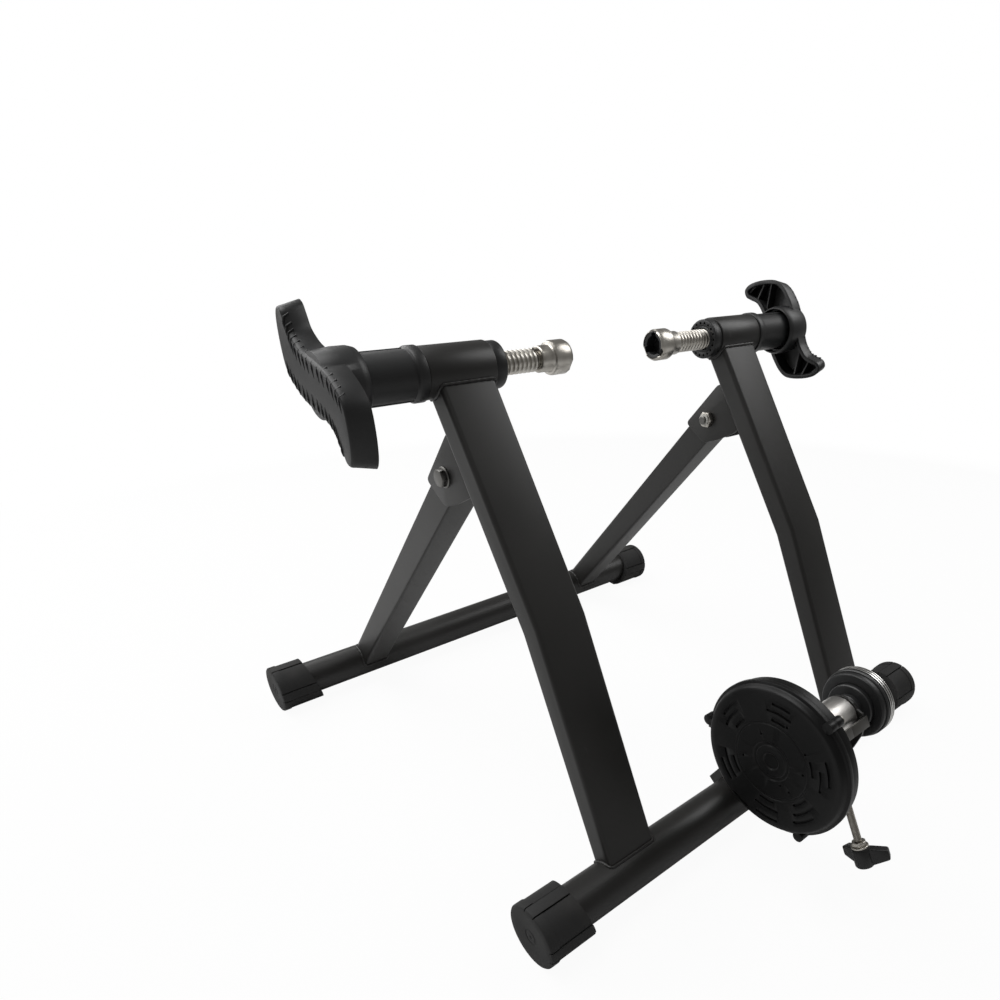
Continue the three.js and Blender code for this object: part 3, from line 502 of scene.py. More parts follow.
def footCap():
    r, length, socket, wall = (cap[key] for key in ("radius", "length", "socket", "wall"))
    body = spun("cap", [
        (-0.9, 0), (-0.9, 1.2), (-0.5, 1.6), (-0.5, 4.5), (-0.9, 5), (-0.9, 6.4), (-0.5, 6.9), (-0.4, 14), (0, 18),
        (-0.1, 23.2), (-0.5, 24.4), (-1.3, r - 0.1), (-1.8, r), (-length, r), (-length, socket), (-wall, socket),
        (-wall, 0)], segments=96)
    half = cap["panelHalf"]
    panel = bow(cap["panelRadius"], -half, half, 14) + bow(r + 5, half, -half, 14)
    groove = (-60, -cap["grooveHalf"], r - cap["grooveDepth"]), (5, cap["grooveHalf"], r + 5)
    for degrees in range(45, 360, 90):  # four sunk panels, each between two fine grooves that run to the end
        carve(body, plated("panel", panel, -60, -cap["flange"], turn(degrees, "X")))
        for edge in (-half, half):
            carve(body, boxed("groove", *groove, turn(degrees + edge, "X")))
    tilt = atan2(length - cap["topLength"], 2 * r)
    slant = move(-(length + cap["topLength"]) / 2, 0, 0) @ Matrix.Rotation(tilt, 4, "Y")
    carve(body, boxed("slant", (-40, -50, -50), (0, 50, 50), slant), boxed("ground", (-80, -50, -60), (20, 50, -tubeZ)))
    return soften(body, 0.4, 3, 30)


model = footCap()
for which, y, body in crossTubes:
    for side, flip in mirrored:
        node = f"{which}_foot_cap_{side}"
        place = flip @ move(max(map(abs, spanX(node))), y, tubeZ)
        dress(copied(model, f"{which}_cap_{side}", place), "rubber", body, node)
drop(model)
print("foot caps made")


# base tubes

pipe = {"radius": 18, "inner": 16, "cope": 17.5}  # bars welded to a pipe are cut back to the cope's radius

for which, y, body in crossTubes:
    r, inner, node = pipe["radius"], pipe["inner"], f"{which}_base_tube"
    line = evenLine(*spanX(node), [(0.3, inner), (0, inner + 0.2), (0, r - 0.4), (0.4, r)])
    dress(smooth(spun(f"{which}_round_tube", line, move(0, y, tubeZ), 96)), "coat", body, node)
print("base tubes made")


# uprights: bent rectangular tube with rolled corners, welded at both ends

upright = {"width": 46, "depth": 21, "corner": 3.6, "weldGap": 0.3, "bend": (88.2, 206.3),
           "footX": 154.5, "topX": 150.8}
bendY, bendZ = frontY + upright["bend"][0], upright["bend"][1]
foot, knee, top = Vector((frontY, tubeZ)), Vector((bendY, bendZ)), Vector((clampY, clampZ))
lower = Vector((bendY - frontY, bendZ - tubeZ)).normalized()
upper = Vector((clampY - bendY, clampZ - bendZ)).normalized()
lowerOut, upperOut = Vector((lower.y, -lower.x)), Vector((upper.y, -upper.x))
mitre = (lowerOut + upperOut) * 2 / (lowerOut + upperOut).length_squared


def leanX(z):  # the uprights lean in towards the top
    return upright["footX"] + (upright["topX"] - upright["footX"]) * (z - tubeZ) / (clampZ - tubeZ)


def welded(name, line, bar, slope, *cuts):  # a bar with rolled corners, cut to fit round tubes and leant over
    piece = plated(name, line, -bar["width"] / 2, bar["width"] / 2)
    bevelFlat(piece, bar["corner"], 5, 60)
    carve(piece, *(rodded("cut", radius, -60, 60, place) for radius, place in cuts))
    for vertex in piece.data.vertices:
        spot = vertex.co / mm
        vertex.co = (spot + Vector((slope(spot.z), 0, 0))) * mm
    return smooth(piece, 30)


def makeUpright():
    half = upright["depth"] / 2
    line = [foot + lowerOut * half, knee + mitre * half, top + upperOut * half,
            top - upperOut * half, knee - mitre * half, foot - lowerOut * half]
    return welded("bar", line, upright, leanX, (pipe["cope"], onFront), (pipe["cope"], onClamp))


def jointPath(axis, along, out, bar, radius, slope):  # round a bar's section, where the bar meets a round tube
    half, wide, corner = bar["depth"] / 2 + bar["weldGap"], bar["width"] / 2 + bar["weldGap"], bar["corner"]
    ring = []
    for cx, ct, start in ((wide, half, 0), (-wide, half, 90), (-wide, -half, 180), (wide, -half, 270)):
        ring += bow(corner, start, start + 90, 7, (cx - copysign(corner, cx), ct - copysign(corner, ct)))
    points = []
    for i, (x, across) in enumerate(ring):
        nextX, nextAcross = ring[(i + 1) % len(ring)]
        count = max(1, int(hypot(nextX - x, nextAcross - across) / 1.6))
        for k in range(count):
            px, pt = x + (nextX - x) * k / count, across + (nextAcross - across) * k / count
            spot = axis + out * pt + along * sqrt(max(radius ** 2 - pt ** 2, 1))
            points.append((px + slope(spot[1]), spot[0], spot[1]))
    return points


bar = makeUpright()
footWeld = beaded("footWeld", jointPath(foot, lower, lowerOut, upright, pipe["radius"], leanX), 1.4)
topWeld = beaded("topWeld", jointPath(top, -upper, upperOut, upright, pipe["radius"], leanX), 1.3)
for side, flip in mirrored:
    dress(copied(bar, f"upright_tube_{side}", flip), "coat", "base_frame", f"upright_{side}")
    dress(copied(footWeld, f"upright_foot_weld_{side}", flip), "coat", "base_frame")
    dress(copied(topWeld, f"upright_top_weld_{side}", flip), "coat", "base_frame")
drop(bar, footWeld, topWeld)
print("uprights made")


# axle clamps

clampFit = {"inner": 126, "outer": 181, "radius": 18, "bore": 15.8, "plug": 15.5, "sleeveEnd": 231}


def clampTube():
    r, bore = clampFit["radius"], clampFit["bore"]
    ends = [(0.3, bore), (0, bore + 0.3), (0, r - 0.7), (0.25, r - 0.2), (0.8, r)]
    return smooth(spun("tube", evenLine(clampFit["inner"], clampFit["outer"], ends), segments=96))


def threadBush():
    a, plug, bore = clampFit["inner"], clampFit["plug"], 8.9
    bush = spun("bush", [
        (a - 9.4, bore), (a - 10, 9.6), (a - 10, 10.4), (a - 9.5, 11), (a - 9.5, 11.8), (a - 10, 12.3),
        (a - 10, 15.6), (a - 9.6, 16.6), (a - 8.6, 17), (a - 0.9, 17), (a - 0.3, 16.6), (a - 0.3, plug),
        (a + 24, plug), (a + 24, bore)], segments=80)
    hole = rodded("hole", 1.05, a - 12, a - 7.4, segments=12)
    for degrees in range(7, 360, 20):
        carve(bush, copied(hole, "dot", turn(degrees, "X") @ move(0, 0, 14)))
    drop(hole)
    return soften(bush, 0.2, 1, 40)


def guideSleeve():
    b, end, plug, bore = clampFit["outer"], clampFit["sleeveEnd"], clampFit["plug"], 12.6
    sleeve = spun("sleeve", [
        (b - 16, bore), (b - 16, plug), (b + 0.3, plug), (b + 0.3, 18.3), (b + 0.9, 19), (b + 7.4, 19),
        (b + 8.4, 18.4), (b + 9.2, 17.1), (end - 0.8, 17.1), (end, 16.4), (end, bore)], segments=80)
    rib = boxed("rib", (b + 8, -1.6, 16.4), (end - 3, 1.6, 17.75))
    for degrees in (15, 195):  # two low keys guide the handle
        carve(sleeve, copied(rib, "key", turn(degrees, "X")), operation="UNION")
    drop(rib)
    return soften(sleeve, 0.3, 2, 40)


cup = {"tip": 50, "head": 67, "end": 78, "radius": 13, "mouth": 11.8, "collar": 9.9, "recess": 8, "depth": 11,
       "core": 11.1, "bore": 6.2, "notches": (90, 210, 330)}


def cupCore():  # black core with a round seat and three notches
    tip, ground, r, half = cup["tip"], cup["tip"] + cup["depth"], cup["core"], 2.75
    core = spun("core", [
        (tip + 1.4, 0), (tip + 1.4, 8), (tip + 0.9, 9.5), (tip + 0.8, 10.6), (tip + 1.2, r), (ground + 2, r),
        (ground + 2, 0)])
    carve(core, rodded("recess", cup["recess"], tip - 5, ground, segments=48))
    slot = [(-half, -2), (-half, 8.2)] + bow(half, 180, 0, 8, (0, 8.2)) + [(half, -2)]
    for degrees in cup["notches"]:
        carve(core, plated("notch", slot, tip - 5, ground, turn(degrees - 90, "X")))
    return soften(core, 0.3, 2, 40)


def axleCup():
    tip, head, end, r, mouth, collar, bore = (
        cup[key] for key in ("tip", "head", "end", "radius", "mouth", "collar", "bore"))
    body = spun("cupBody", [
        (tip, 0), (tip, mouth - 0.5), (tip + 0.4, mouth), (tip + 3, r), (head - 2, r), (head - 0.6, r - 0.5),
        (head, r - 1.6), (head, collar + 0.9), (head + 0.9, collar + 0.3), (head + 1.4, collar),
        (end - 0.8, collar), (end, collar - 0.7), (end, bore), (end - 11.2, bore), (end - 11.2, 0)], segments=72)
    carve(body, rodded("seat", cup["core"] + 0.1, tip - 5, tip + cup["depth"] + 2, segments=64))
    for degrees in cup["notches"]:  # the rim dips above each notch of the core
        dip = turn(degrees, "X") @ move(tip - 2.6, 0, 0) @ turn(90, "Z")
        carve(body, rodded("dip", 5.2, 4, 20, dip))
    return soften(body, 0.3, 2, 40)


rod = {"radius": 8.75, "depth": 1.35, "pitch": 4, "threadEnd": 239.5, "tang": 252.7, "pin": 6}


def spindle():
    end, pin = rod["threadEnd"], rod["pin"]
    thread = threaded("spindleThread", rod["radius"], rod["depth"], rod["pitch"], cup["end"] + 0.3, end, 44)
    nose = spun("nose", [(67.1, 0), (67.1, 5.6), (67.6, pin), (80, pin), (80, 0)], segments=32)
    tang = pinned("tang", pin, rod["tang"], end - 1.5, 0.5)
    return smooth(joinUp(thread, nose, tang), 40)


for label, shape, finish, body in (
        ("cup_core", cupCore(), "plastic", "clamp_{}_cup"), ("clamp_tube", clampTube(), "coat", "base_frame"),
        ("thread_bush", threadBush(), "plastic", "base_frame"),
        ("guide_sleeve", guideSleeve(), "plastic", "base_frame"),
        ("axle_cup", axleCup(), "zinc", "clamp_{}_cup"), ("spindle", spindle(), "zinc", "clamp_{}_screw")):
    for side, flip in turned:
        nodes = [] if label == "cup_core" else [f"{label}_{side}"]
        dress(copied(shape, f"{label}_piece_{side}", onClamp @ flip), finish, body.format(side), *nodes)
    drop(shape)
print("clamps made")


# handles: one moulding serves both sides, each turned its own way

grip = {"reach": 62, "draft": 0.942, "rim": 239.6, "palm": 257, "wall": 4, "collar": 225.5,
        "turn": {"right": -3.2, "left": 86.5},
        "wing": [(0.352, 0.129), (0.425, 0.275), (0.532, 0.395), (0.661, 0.445), (0.77, 0.495), (0.805, 0.6),
                 (0.7, 0.69), (0.468, 0.742), (0.194, 0.742), (0.04, 0.661), (-0.085, 0.516), (-0.2, 0.318)],
        "palmRoll": [(0.25, 1.5), (0.5, 1.1), (0.7, 0.7), (0.75, 0.15)],  # inset and rise of every step
        "stiffeners": [(15, 36, (20, 18)), (22, 118, (33, 32)), (22, 100, (21, 28)), (20, 140, (44, 36))],
        "fingerRib": [(5.5, -0.6), (1.5, 1.4), (0.8, 4.4), (1.5, 11)]}  # below the palm and in from the outline


def gripLine(share=1, count=4):  # a smooth line through the marks of both wings
    marks = [Vector(mark) * grip["reach"] * share for mark in grip["wing"]]
    marks += [-mark for mark in marks]
    result = []
    for i in range(len(marks)):
        a, b, c, d = (marks[(i + k) % len(marks)] for k in (-1, 0, 1, 2))
        for k in range(count):
            t = k / count
            result.append(tuple(0.5 * (2 * b + (c - a) * t + (2 * a - 5 * b + 4 * c - d) * t ** 2
                                       + (3 * b - a - 3 * c + d) * t ** 3)))
    return result


def gapTo(spot, outline):  # how far a point lies from the outline
    gaps = []
    for a, b in zip(map(Vector, outline), map(Vector, outline[1:] + outline[:1])):
        share = max(0, min(1, (spot - a).dot(b - a) / (b - a).length_squared))
        gaps.append((spot - a - (b - a) * share).length)
    return min(gaps)


def inset(outline, depth):  # the outline moved inwards by the same depth all round
    result = []
    for i, spot in enumerate(outline):
        along = (Vector(outline[(i + 1) % len(outline)]) - Vector(outline[i - 1])).normalized()
        inner = Vector((spot[0] - along.y * depth, spot[1] + along.x * depth))
        if gapTo(inner, outline) > depth * 0.95:
            result.append(tuple(inner))
    return result


def barred(name, radius, start, end, place):  # a round bar between two points
    start, end = Vector(start), Vector(end)
    tilt = Vector((1, 0, 0)).rotation_difference(end - start).to_matrix().to_4x4()
    return rodded(name, radius, 0, (end - start).length, place @ move(*start) @ tilt, 10)


def handle():
    palm, draft, rim, c = (grip[key] for key in ("palm", "draft", "rim", "collar"))
    palmInner = palm - grip["wall"]
    pulled(gripLine(), [(rim, 1), (palm - 4.5, draft)])
    for thickness, rise in grip["palmRoll"]:  # the palm's edge rolls over
        bpy.ops.mesh.inset(thickness=thickness * mm)
        bpy.ops.transform.translate(value=(rise * mm, 0, 0))
    closeUp()
    body = placed("grip")
    pocket = lofted("pocket", inset(gripLine(), 3.5), [(rim - 5, 1), (rim, 1), (palmInner, draft)])
    for half in (0, 180):  # stiffening ribs stay standing in the hollow
        for length, degrees, at in grip["stiffeners"]:
            place = turn(half, "X") @ move(0, *at) @ turn(degrees, "X")
            carve(pocket, boxed("rib", (rim + 3, -length, -0.7), (palmInner + 1, length, 0.7), place))
    carve(body, pocket)
    carve(body, spun("collar", [
        (c, 0), (c, 20.9), (c + 0.4, 21.3), (c + 4.2, 22.4), (c + 5, 22.5), (rim, 22.5), (palmInner + 1, 21),
        (palmInner + 1, 0)], segments=72), operation="UNION")
    carve(body, spun("socket", [
        (c - 5, 0), (c - 5, 20.2), (c + 9, 20.2), (c + 9, 18.4), (palmInner, 18.4), (palmInner, 11), (239, 11),
        (239, 0)], segments=72),
          rodded("tangHole", rod["pin"] + 0.3, 235, palmInner - 0.3, segments=24))
    soften(body, 0.45, 2, 38)
    outline, ribs = gripLine(draft * 0.985), []
    for half in (0, 180):  # slanting finger ribs lie across the leading edge of the palm
        last = None
        for i in [*range(36, 48), *range(0, 15)]:
            spot = Vector(outline[i])
            edge = (Vector(outline[i + 1]) - spot).normalized()
            if last and i and (spot - last).length < 3.9 or abs(edge.y) < 0.3:
                continue
            last = spot
            inward = Vector((-1 if edge.y > 0 else 1, 0))
            if gapTo(spot + inward * 11, outline) < 2.5:
                continue
            knots = [(palm - below, *(spot + inward * depth)) for below, depth in grip["fingerRib"]]
            ribs += [barred("bar", 0.62, a, b, turn(half, "X")) for a, b in zip(knots, knots[1:])]
    return smooth(joinUp(body, *ribs), 38)


shape = handle()
for side, flip in turned:
    place = onClamp @ turn(grip["turn"][side], "X") @ flip
    dress(copied(shape, f"palm_handle_{side}", place), "plastic", f"clamp_{side}_screw", f"clamp_handle_{side}")
drop(shape)
print("handles made")


# rear legs and their hinges

leg = {"width": 27.5, "depth": 26.7, "corner": 3, "weldGap": 0.35, "footX": 161.8, "bushHole": 6.2}
legAlong = Vector((rearY - hingeY, tubeZ - hingeZ)).normalized()
legUp = Vector((-legAlong.y, legAlong.x))
legLength = hypot(rearY - hingeY, hingeZ - tubeZ)


def legX(z):
    return leg["footX"] + (hingeX - leg["footX"]) * (z - tubeZ) / (hingeZ - tubeZ)


def byLeg(along, out):
    return tuple(Vector((hingeY, hingeZ)) + legAlong * along + legUp * out)


def rearLeg():
    half = leg["depth"] / 2
    start = atan2(legAlong.y, legAlong.x) * 180 / pi
    line = [byLeg(0, -half), byLeg(legLength, -half), byLeg(legLength, half)]
    line += bow(half, start + 90, start + 270, 16, (hingeY, hingeZ))[:-1]
    return welded("leg", line, leg, legX, (pipe["cope"], move(0, rearY, tubeZ)), (leg["bushHole"], onHinge))


bracket = {"width": 36, "sheet": 2.5, "gap": 0.3, "top": 33, "bottom": 26,
           "belly": [(0.82, -0.52), (0.1, -0.9), (-0.7, -1.21), (-1.5, -1), (-1.5, 0.17)]}


def hingeBracket():
    sheet, top, bottom, halfWidth = bracket["sheet"], bracket["top"], bracket["bottom"], bracket["width"] / 2
    inner = leg["depth"] / 2 + bracket["gap"]
    outer = inner + sheet
    cheek = rounded([byLeg(-top, outer), byLeg(bottom, outer)]
                    + [byLeg(a * bottom, b * bottom) for a, b in bracket["belly"]], 5)
    whole = plated("bracket", cheek, hingeX - halfWidth, hingeX + halfWidth)
    bevelFlat(whole, 0.6, 2)
    corners = (-top - 9, inner), (bottom + 9, inner), (bottom + 9, -70), (-70, -70), (-70, inner)
    inside = [byLeg(*corner) for corner in corners]
    carve(whole, plated("inside", inside, hingeX - halfWidth + sheet, hingeX + halfWidth - sheet))
    carve(whole, rodded("boltHole", 4.2, 100, 200, onHinge))
    return smooth(whole, 30)


bolt = {"radius": 4, "corners": 14.4, "head": 5.3, "chamfer": 0.7}
lock = {"bore": 4.15, "hexShare": 0.74, "hingeHeight": 6.8, "pivotHeight": 6.5}


def hingeBolt():
    x = hingeX + bracket["width"] / 2 + bracket["gap"]
    head = hexed("head", bolt["corners"], bolt["head"], 0, move(x, 0, 0))
    flange = spun("flange", [(x, 0), (x, 8.3), (x + 0.5, 8.3), (x + 1.1, 7.2), (x + 1.1, 0)], segments=40)
    return joinUp(head, flange, pinned("shank", bolt["radius"], 124.2, x + 1, bolt["chamfer"]))


def lockNut(corners, height):  # hexagon with the round collar that holds the nylon ring
    bore = lock["bore"]
    nut = hexed("nut", corners, height * lock["hexShare"], bore)
    collar = spun("collar", [
        (-height * 0.26, bore + 1), (-height * 0.26, corners * 0.33), (-height * 0.2, corners * 0.36),
        (0.3, corners * 0.4), (0.3, bore + 1)], segments=40)
    ring = spun("ring", [
        (-height * 0.3, bore - 0.2), (-height * 0.3, bore + 1.1), (-height * 0.2, bore + 1.5), (0.2, bore + 1.5),
        (0.2, bore - 0.2)], segments=32)
    return smooth(joinUp(nut, collar)), smooth(ring)


legShape, bracketShape, boltShape = rearLeg(), hingeBracket(), hingeBolt()
nutShape, ringShape = lockNut(15.6, lock["hingeHeight"])
onNut = onHinge @ move(hingeX - bracket["width"] / 2 - bracket["gap"] - lock["hingeHeight"] * lock["hexShare"], 0, 0)
legWeld = beaded("legWeld", jointPath(Vector((rearY, tubeZ)), -legAlong, legUp, leg, pipe["radius"] + 0.2, legX), 1.5)
for side, flip in mirrored:
    dress(copied(legShape, f"leg_tube_{side}", flip), "coat", "rear_frame", f"rear_leg_{side}")
    dress(copied(legWeld, f"leg_weld_{side}", flip), "coat", "rear_frame")
    dress(copied(bracketShape, f"hinge_cheeks_{side}", flip), "coat", "base_frame", f"hinge_bracket_{side}")
    dress(copied(boltShape, f"hinge_screw_{side}", flip @ onHinge), "dark", "base_frame", f"hinge_bolt_{side}")
    dress(copied(nutShape, f"lock_nut_{side}", flip @ onNut), "zinc", "base_frame", f"hinge_nut_{side}")
    dress(copied(ringShape, f"lock_ring_{side}", flip @ onNut), "nylon", "base_frame")
drop(legShape, bracketShape, boltShape, nutShape, ringShape, legWeld)
print("rear legs made")


# brake casing, in the leaning frame of the resistance unit

casing = {"face": -76, "seam": -67.15, "back": -60, "radius": 61, "housing": 59, "wall": 2.2, "inlet": -5,
          "lugCentre": 61, "lugRadius": 4, "lugs": (3, 127, 240),
          "slots": [(48, -48, -28), (42, -48, -16), (54, -74, -60), (50.5, -104, -84), (42, -106, -80),
                    (41.5, 160, 182), (48, 150, 172), (43, 14, 40), (48.5, 22, 44), (42, 78, 104), (48, 84, 100),
                    (35, -44, -24), (35, 22, 40), (35, 84, 100), (35, 150, 168), (35, 206, 226), (42, 204, 232),
                    (48, 213.4, 236), (35, -102, -84)],
          "dots": [(36, 104), (33.5, 140), (27, 171), (19, -125), (25, -138), (25, -18), (22, 60)]}


def around(radius, degrees):  # (y, z) of a spot on the casing, its angle taken in the leaning frame
    angle = radians(degrees + leanDegrees)
    return radius * cos(angle), radius * sin(angle)


def slotLine(radius, low, high, half=1.1):
    start, end = around(radius, low), around(radius, high)
    low, high = low + leanDegrees, high + leanDegrees
    return (bow(radius + half, low, high, 10) + bow(half, high, high + 180, 6, end)[1:-1]
            + bow(radius - half, high, low, 10) + bow(half, low + 180, low + 360, 6, start)[1:-1])


def lugRods(fromX, toX, more=0):  # the first lug, beside the roller, is the stoutest
    for degrees in casing["lugs"]:
        place = move(0, *around(casing["lugCentre"], degrees))
        yield rodded("lug", casing["lugRadius"] + more, fromX, toX, place, 24)
        more = 0


def brakeCover():
    f, seam, r = casing["face"], casing["seam"], casing["radius"]
    inner = r - casing["wall"]
    shell = spun("cover", [
        (f + 1, 0), (f + 1, 6), (f + 0.2, 7), (f + 0.2, 12.5), (f + 0.8, 13.2), (f + 0.8, 15), (f + 0.1, 16),
        (f + 0.1, 30), (f + 0.5, 30.5), (f + 0.5, 31.6), (f + 0.1, 32.1), (f + 0.1, 52), (f, 55.4), (f + 0.4, 56.6),
        (f + 1.2, 57.3), (f + 3.6, 58.4), (f + 4.6, 58.8), (f + 4.9, 59.2), (f + 5.1, 60.4), (f + 5.6, r),
        (seam, r), (seam, inner), (f + 6, inner), (f + 4, 56.4), (f + 2.4, 55), (f + 2.2, 53),
        (f + 2.2, 0)], segments=128)
    for lug in lugRods(f + 2, seam, 0.5):
        carve(lug, rodded("room", inner - 2, f - 2, seam + 2, segments=96))
        carve(shell, lug, operation="UNION")
    for radius, low, high in casing["slots"]:
        carve(shell, plated("slot", slotLine(radius, low, high), f - 2, f + 1.5))
    for radius, degrees in casing["dots"]:
        carve(shell, rodded("dot", 1, f - 2, f + 1.4, move(0, *around(radius, degrees)), 14))
    return soften(shell, 0.3, 2, 40)


def brakeHousing():
    seam, back, r, wall = casing["seam"] + 0.15, casing["back"], casing["housing"], casing["wall"]
    dish = spun("housing", [
        (seam, r - wall), (seam, r), (back + 1.6, r), (back + 0.6, r - 0.3), (back, r - 1.2), (back, 50),
        (back - 0.7, 49.2), (back - 0.7, 34), (back, 33.2), (back, 12), (back - wall, 12),
        (back - wall, r - wall)], segments=128)
    for lug in lugRods(seam, back):
        carve(lug, rodded("room", r - wall + 0.1, seam - 1, back - 2, segments=96))
        carve(dish, lug, operation="UNION")
    spout = turn(casing["inlet"] + leanDegrees, "X")
    carve(dish, boxed("inlet", (seam, 57.2, -3.5), (back, 66, 3.5), spout), operation="UNION")
    inletHole = spout @ move((seam + back) / 2, 0, 0) @ turn(90, "Z")
    carve(dish, rodded("inletHole", 1.8, 55, 70, inletHole, 20))
    for degrees in range(0, 360, 30):
        if degrees % 90:
            carve(dish, boxed("ridge", (back - 1, 35.5, -0.7), (back, 48, 0.7), turn(degrees, "X")), operation="UNION")
    return soften(dish, 0.3, 2, 40)


def casingScrew():
    head = spun("screwHead", [(0, 0), (0, 3.8), (0.5, 3.8), (1.6, 3.2), (2.3, 2.1), (2.6, 0)], segments=28)
    for degrees in (0, 90):
        carve(head, boxed("cross", (1.1, -2.1, -0.42), (4, 2.1, 0.42), turn(degrees, "X")))
    shank = rodded("screwShank", 1.9, casing["face"] - casing["back"] + 6, 0.4, segments=16)
    return smooth(joinUp(head, shank), 30)


dress(placed("casing_cover", onUnit, brakeCover()), "casing", "cradle", "brake_cover")
dress(placed("casing_housing", onUnit, brakeHousing()), "casing", "cradle", "brake_housing")
shape = casingScrew()
for number, degrees in enumerate(casing["lugs"], 1):
    place = onUnit @ move(casing["back"] + 0.3, *around(casing["lugCentre"], degrees))
    dress(copied(shape, f"casing_pan_screw_{number}", place), "zinc", "cradle", f"casing_screw_{number}")
drop(shape)
print("brake casing made")


# roller, flywheel and what holds them

spinner = {"rollerRadius": 15.2, "left": -50.5, "right": 14.5, "rim": 36, "rimEnd": 46, "rimRadius": 29, "ring": 19.5,
           "hub": 12, "bore": 6.15}


def rollerTube():
    r = spinner["rollerRadius"]
    ends = [(2.5, 6.3), (2.5, 10.5), (0, 11.4), (0, r - 1), (0.3, r - 0.3), (1, r)]
    return smooth(spun("rollerTube", evenLine(spinner["left"], spinner["right"], ends), segments=96))


def flywheelDisc():
    rim, end, r, ring, hub, bore = (spinner[key] for key in ("rim", "rimEnd", "rimRadius", "ring", "hub", "bore"))
    hubX = spanX("flywheel")[0]
    line = [(hubX, bore), (hubX, hub - 0.6), (hubX + 0.6, hub), (hubX + 4, hub), (hubX + 4, ring - 0.8),
            (hubX + 4.8, ring), (rim, ring), (rim, r - 0.8), (rim + 0.8, r)]
    for x in (rim + 2.6, rim + 5.2, rim + 7.8):  # three grooves run round the rim
        line += [(x - 0.7, r), (x - 0.5, r - 1.1), (x + 0.5, r - 1.1), (x + 0.7, r)]
    line += [(end - 0.9, r), (end, r - 0.9), (end, 23), (end - 1, 22), (end - 2.5, 21.6), (end - 2.5, bore)]
    return smooth(spun("flywheelDisc", line, segments=128), 30)


def flywheelFace():
    a, b = spanX("flywheel_face")
    return smooth(spun("faceDisc", [
        (a, 20), (a, 26), (a + 0.35, 26.9), (a + 1.2, 27.5), (a + 2, 27.6), (b, 27.6), (b, 19.8),
        (a + 0.3, 19.8)], segments=96), 40)


tie = {"low": (-54.5, -20.7, -12.3), "high": (18.5, -18.7, -3.5)}


def tieBar():  # rolled strip with the seam where its ends meet
    bar = boxed("tie", tie["low"], tie["high"])
    carve(bar, boxed("seam", (-3.4, -21.5, -13), (-3.1, -20.3, -3)))
    return soften(bar, 0.6, 3)


for label, shape, finish, body, node in (
        ("roller_tube", rollerTube(), "roller", "rotor", "roller"),
        ("flywheel_disc", flywheelDisc(), "flywheel", "rotor", "flywheel"),
        ("flywheel_cover", flywheelFace(), "plastic", "rotor", "flywheel_face"),
        ("tie_strip", tieBar(), "dull", "cradle", "cradle_tie_bar")):
    dress(placed(label, onUnit, shape), finish, body, node)

a, b = spanX("shaft_nut")
dress(hexed("shaft_hex", 17, b - a, 6.1, onUnit @ move(a, 0, 0)), "zinc", "rotor", "shaft_nut")
print("roller and flywheel made")


# adjusting screw, jam nut and knob: local X of these runs up the screw

screw = {"x": -20, "ahead": 9.4, "top": -35.4, "knobTop": -97, "knobHeight": 16, "wingReach": 20, "wingThick": 7.5,
         "tipShare": 0.5, "wings": (-60, 70)}
upScrew = onUnit @ move(screw["x"], -screw["ahead"], 0) @ turn(-90, "Y")
screwTop, knobTop = screw["top"], screw["knobTop"]

thread = threaded("adjusterThread", 3, 0.55, 1, knobTop - 6, screwTop - 4.3, 24)
joinUp(thread, pinned("tipPin", 2, screwTop - 2.3, screwTop - 6, 0.2, 20))
dress(smooth(placed("adjusting_thread", upScrew), 40), "zinc", "adjuster_screw", "adjusting_screw")

jam = hexed("jam", 11.5, 3.5, 3.15, move(knobTop + 1.7, 0, 0))
joinUp(jam, spun("washer", evenLine(knobTop + 0.3, knobTop + 1.7, [(0, 3.2), (0, 6.6), (0.2, 6.8)]), segments=36))
dress(smooth(placed("jam_nut_piece", upScrew), 30), "zinc", "adjuster_screw", "jam_nut")


def wingKnob():
    height, reach, thick = screw["knobHeight"], screw["wingReach"], screw["wingThick"]
    bottom = knobTop - height
    hub = spun("hub", [
        (bottom, 0), (bottom, 5.8), (bottom + 0.5, 6.8), (bottom + 1.5, 7.4), (knobTop - 2, 7.4),
        (knobTop - 1, 7.1), (knobTop, 6.6), (knobTop, 0)], segments=48)
    root, tip = height / 2 - 1, height * screw["tipShare"] / 2
    wing = rounded([(0, root), (7, root - 0.2), (reach, tip), (reach, -tip), (7, 0.2 - root), (0, -root)], 1.6, 3)
    for degrees in screw["wings"]:
        # the wing is drawn in YZ: Y runs out from the hub, Z along the screw
        place = turn(degrees - 90, "X") @ move(knobTop - height / 2, 0, 0) @ turn(90, "Y")
        blade = plated("wing", wing, -thick / 2, thick / 2)
        bevelFlat(blade, 0.9, 3)
        carve(hub, placed("wing", place), operation="UNION")
    carve(hub, rodded("bore", 3.3, knobTop - 10, knobTop + 2, segments=24))
    return soften(hub, 0.5, 3, 40)


dress(placed("wing_knob", upScrew, wingKnob()), "plastic", "adjuster_screw", "adjuster_knob")
print("adjuster made")


# pivot bolt and nut of the cradle

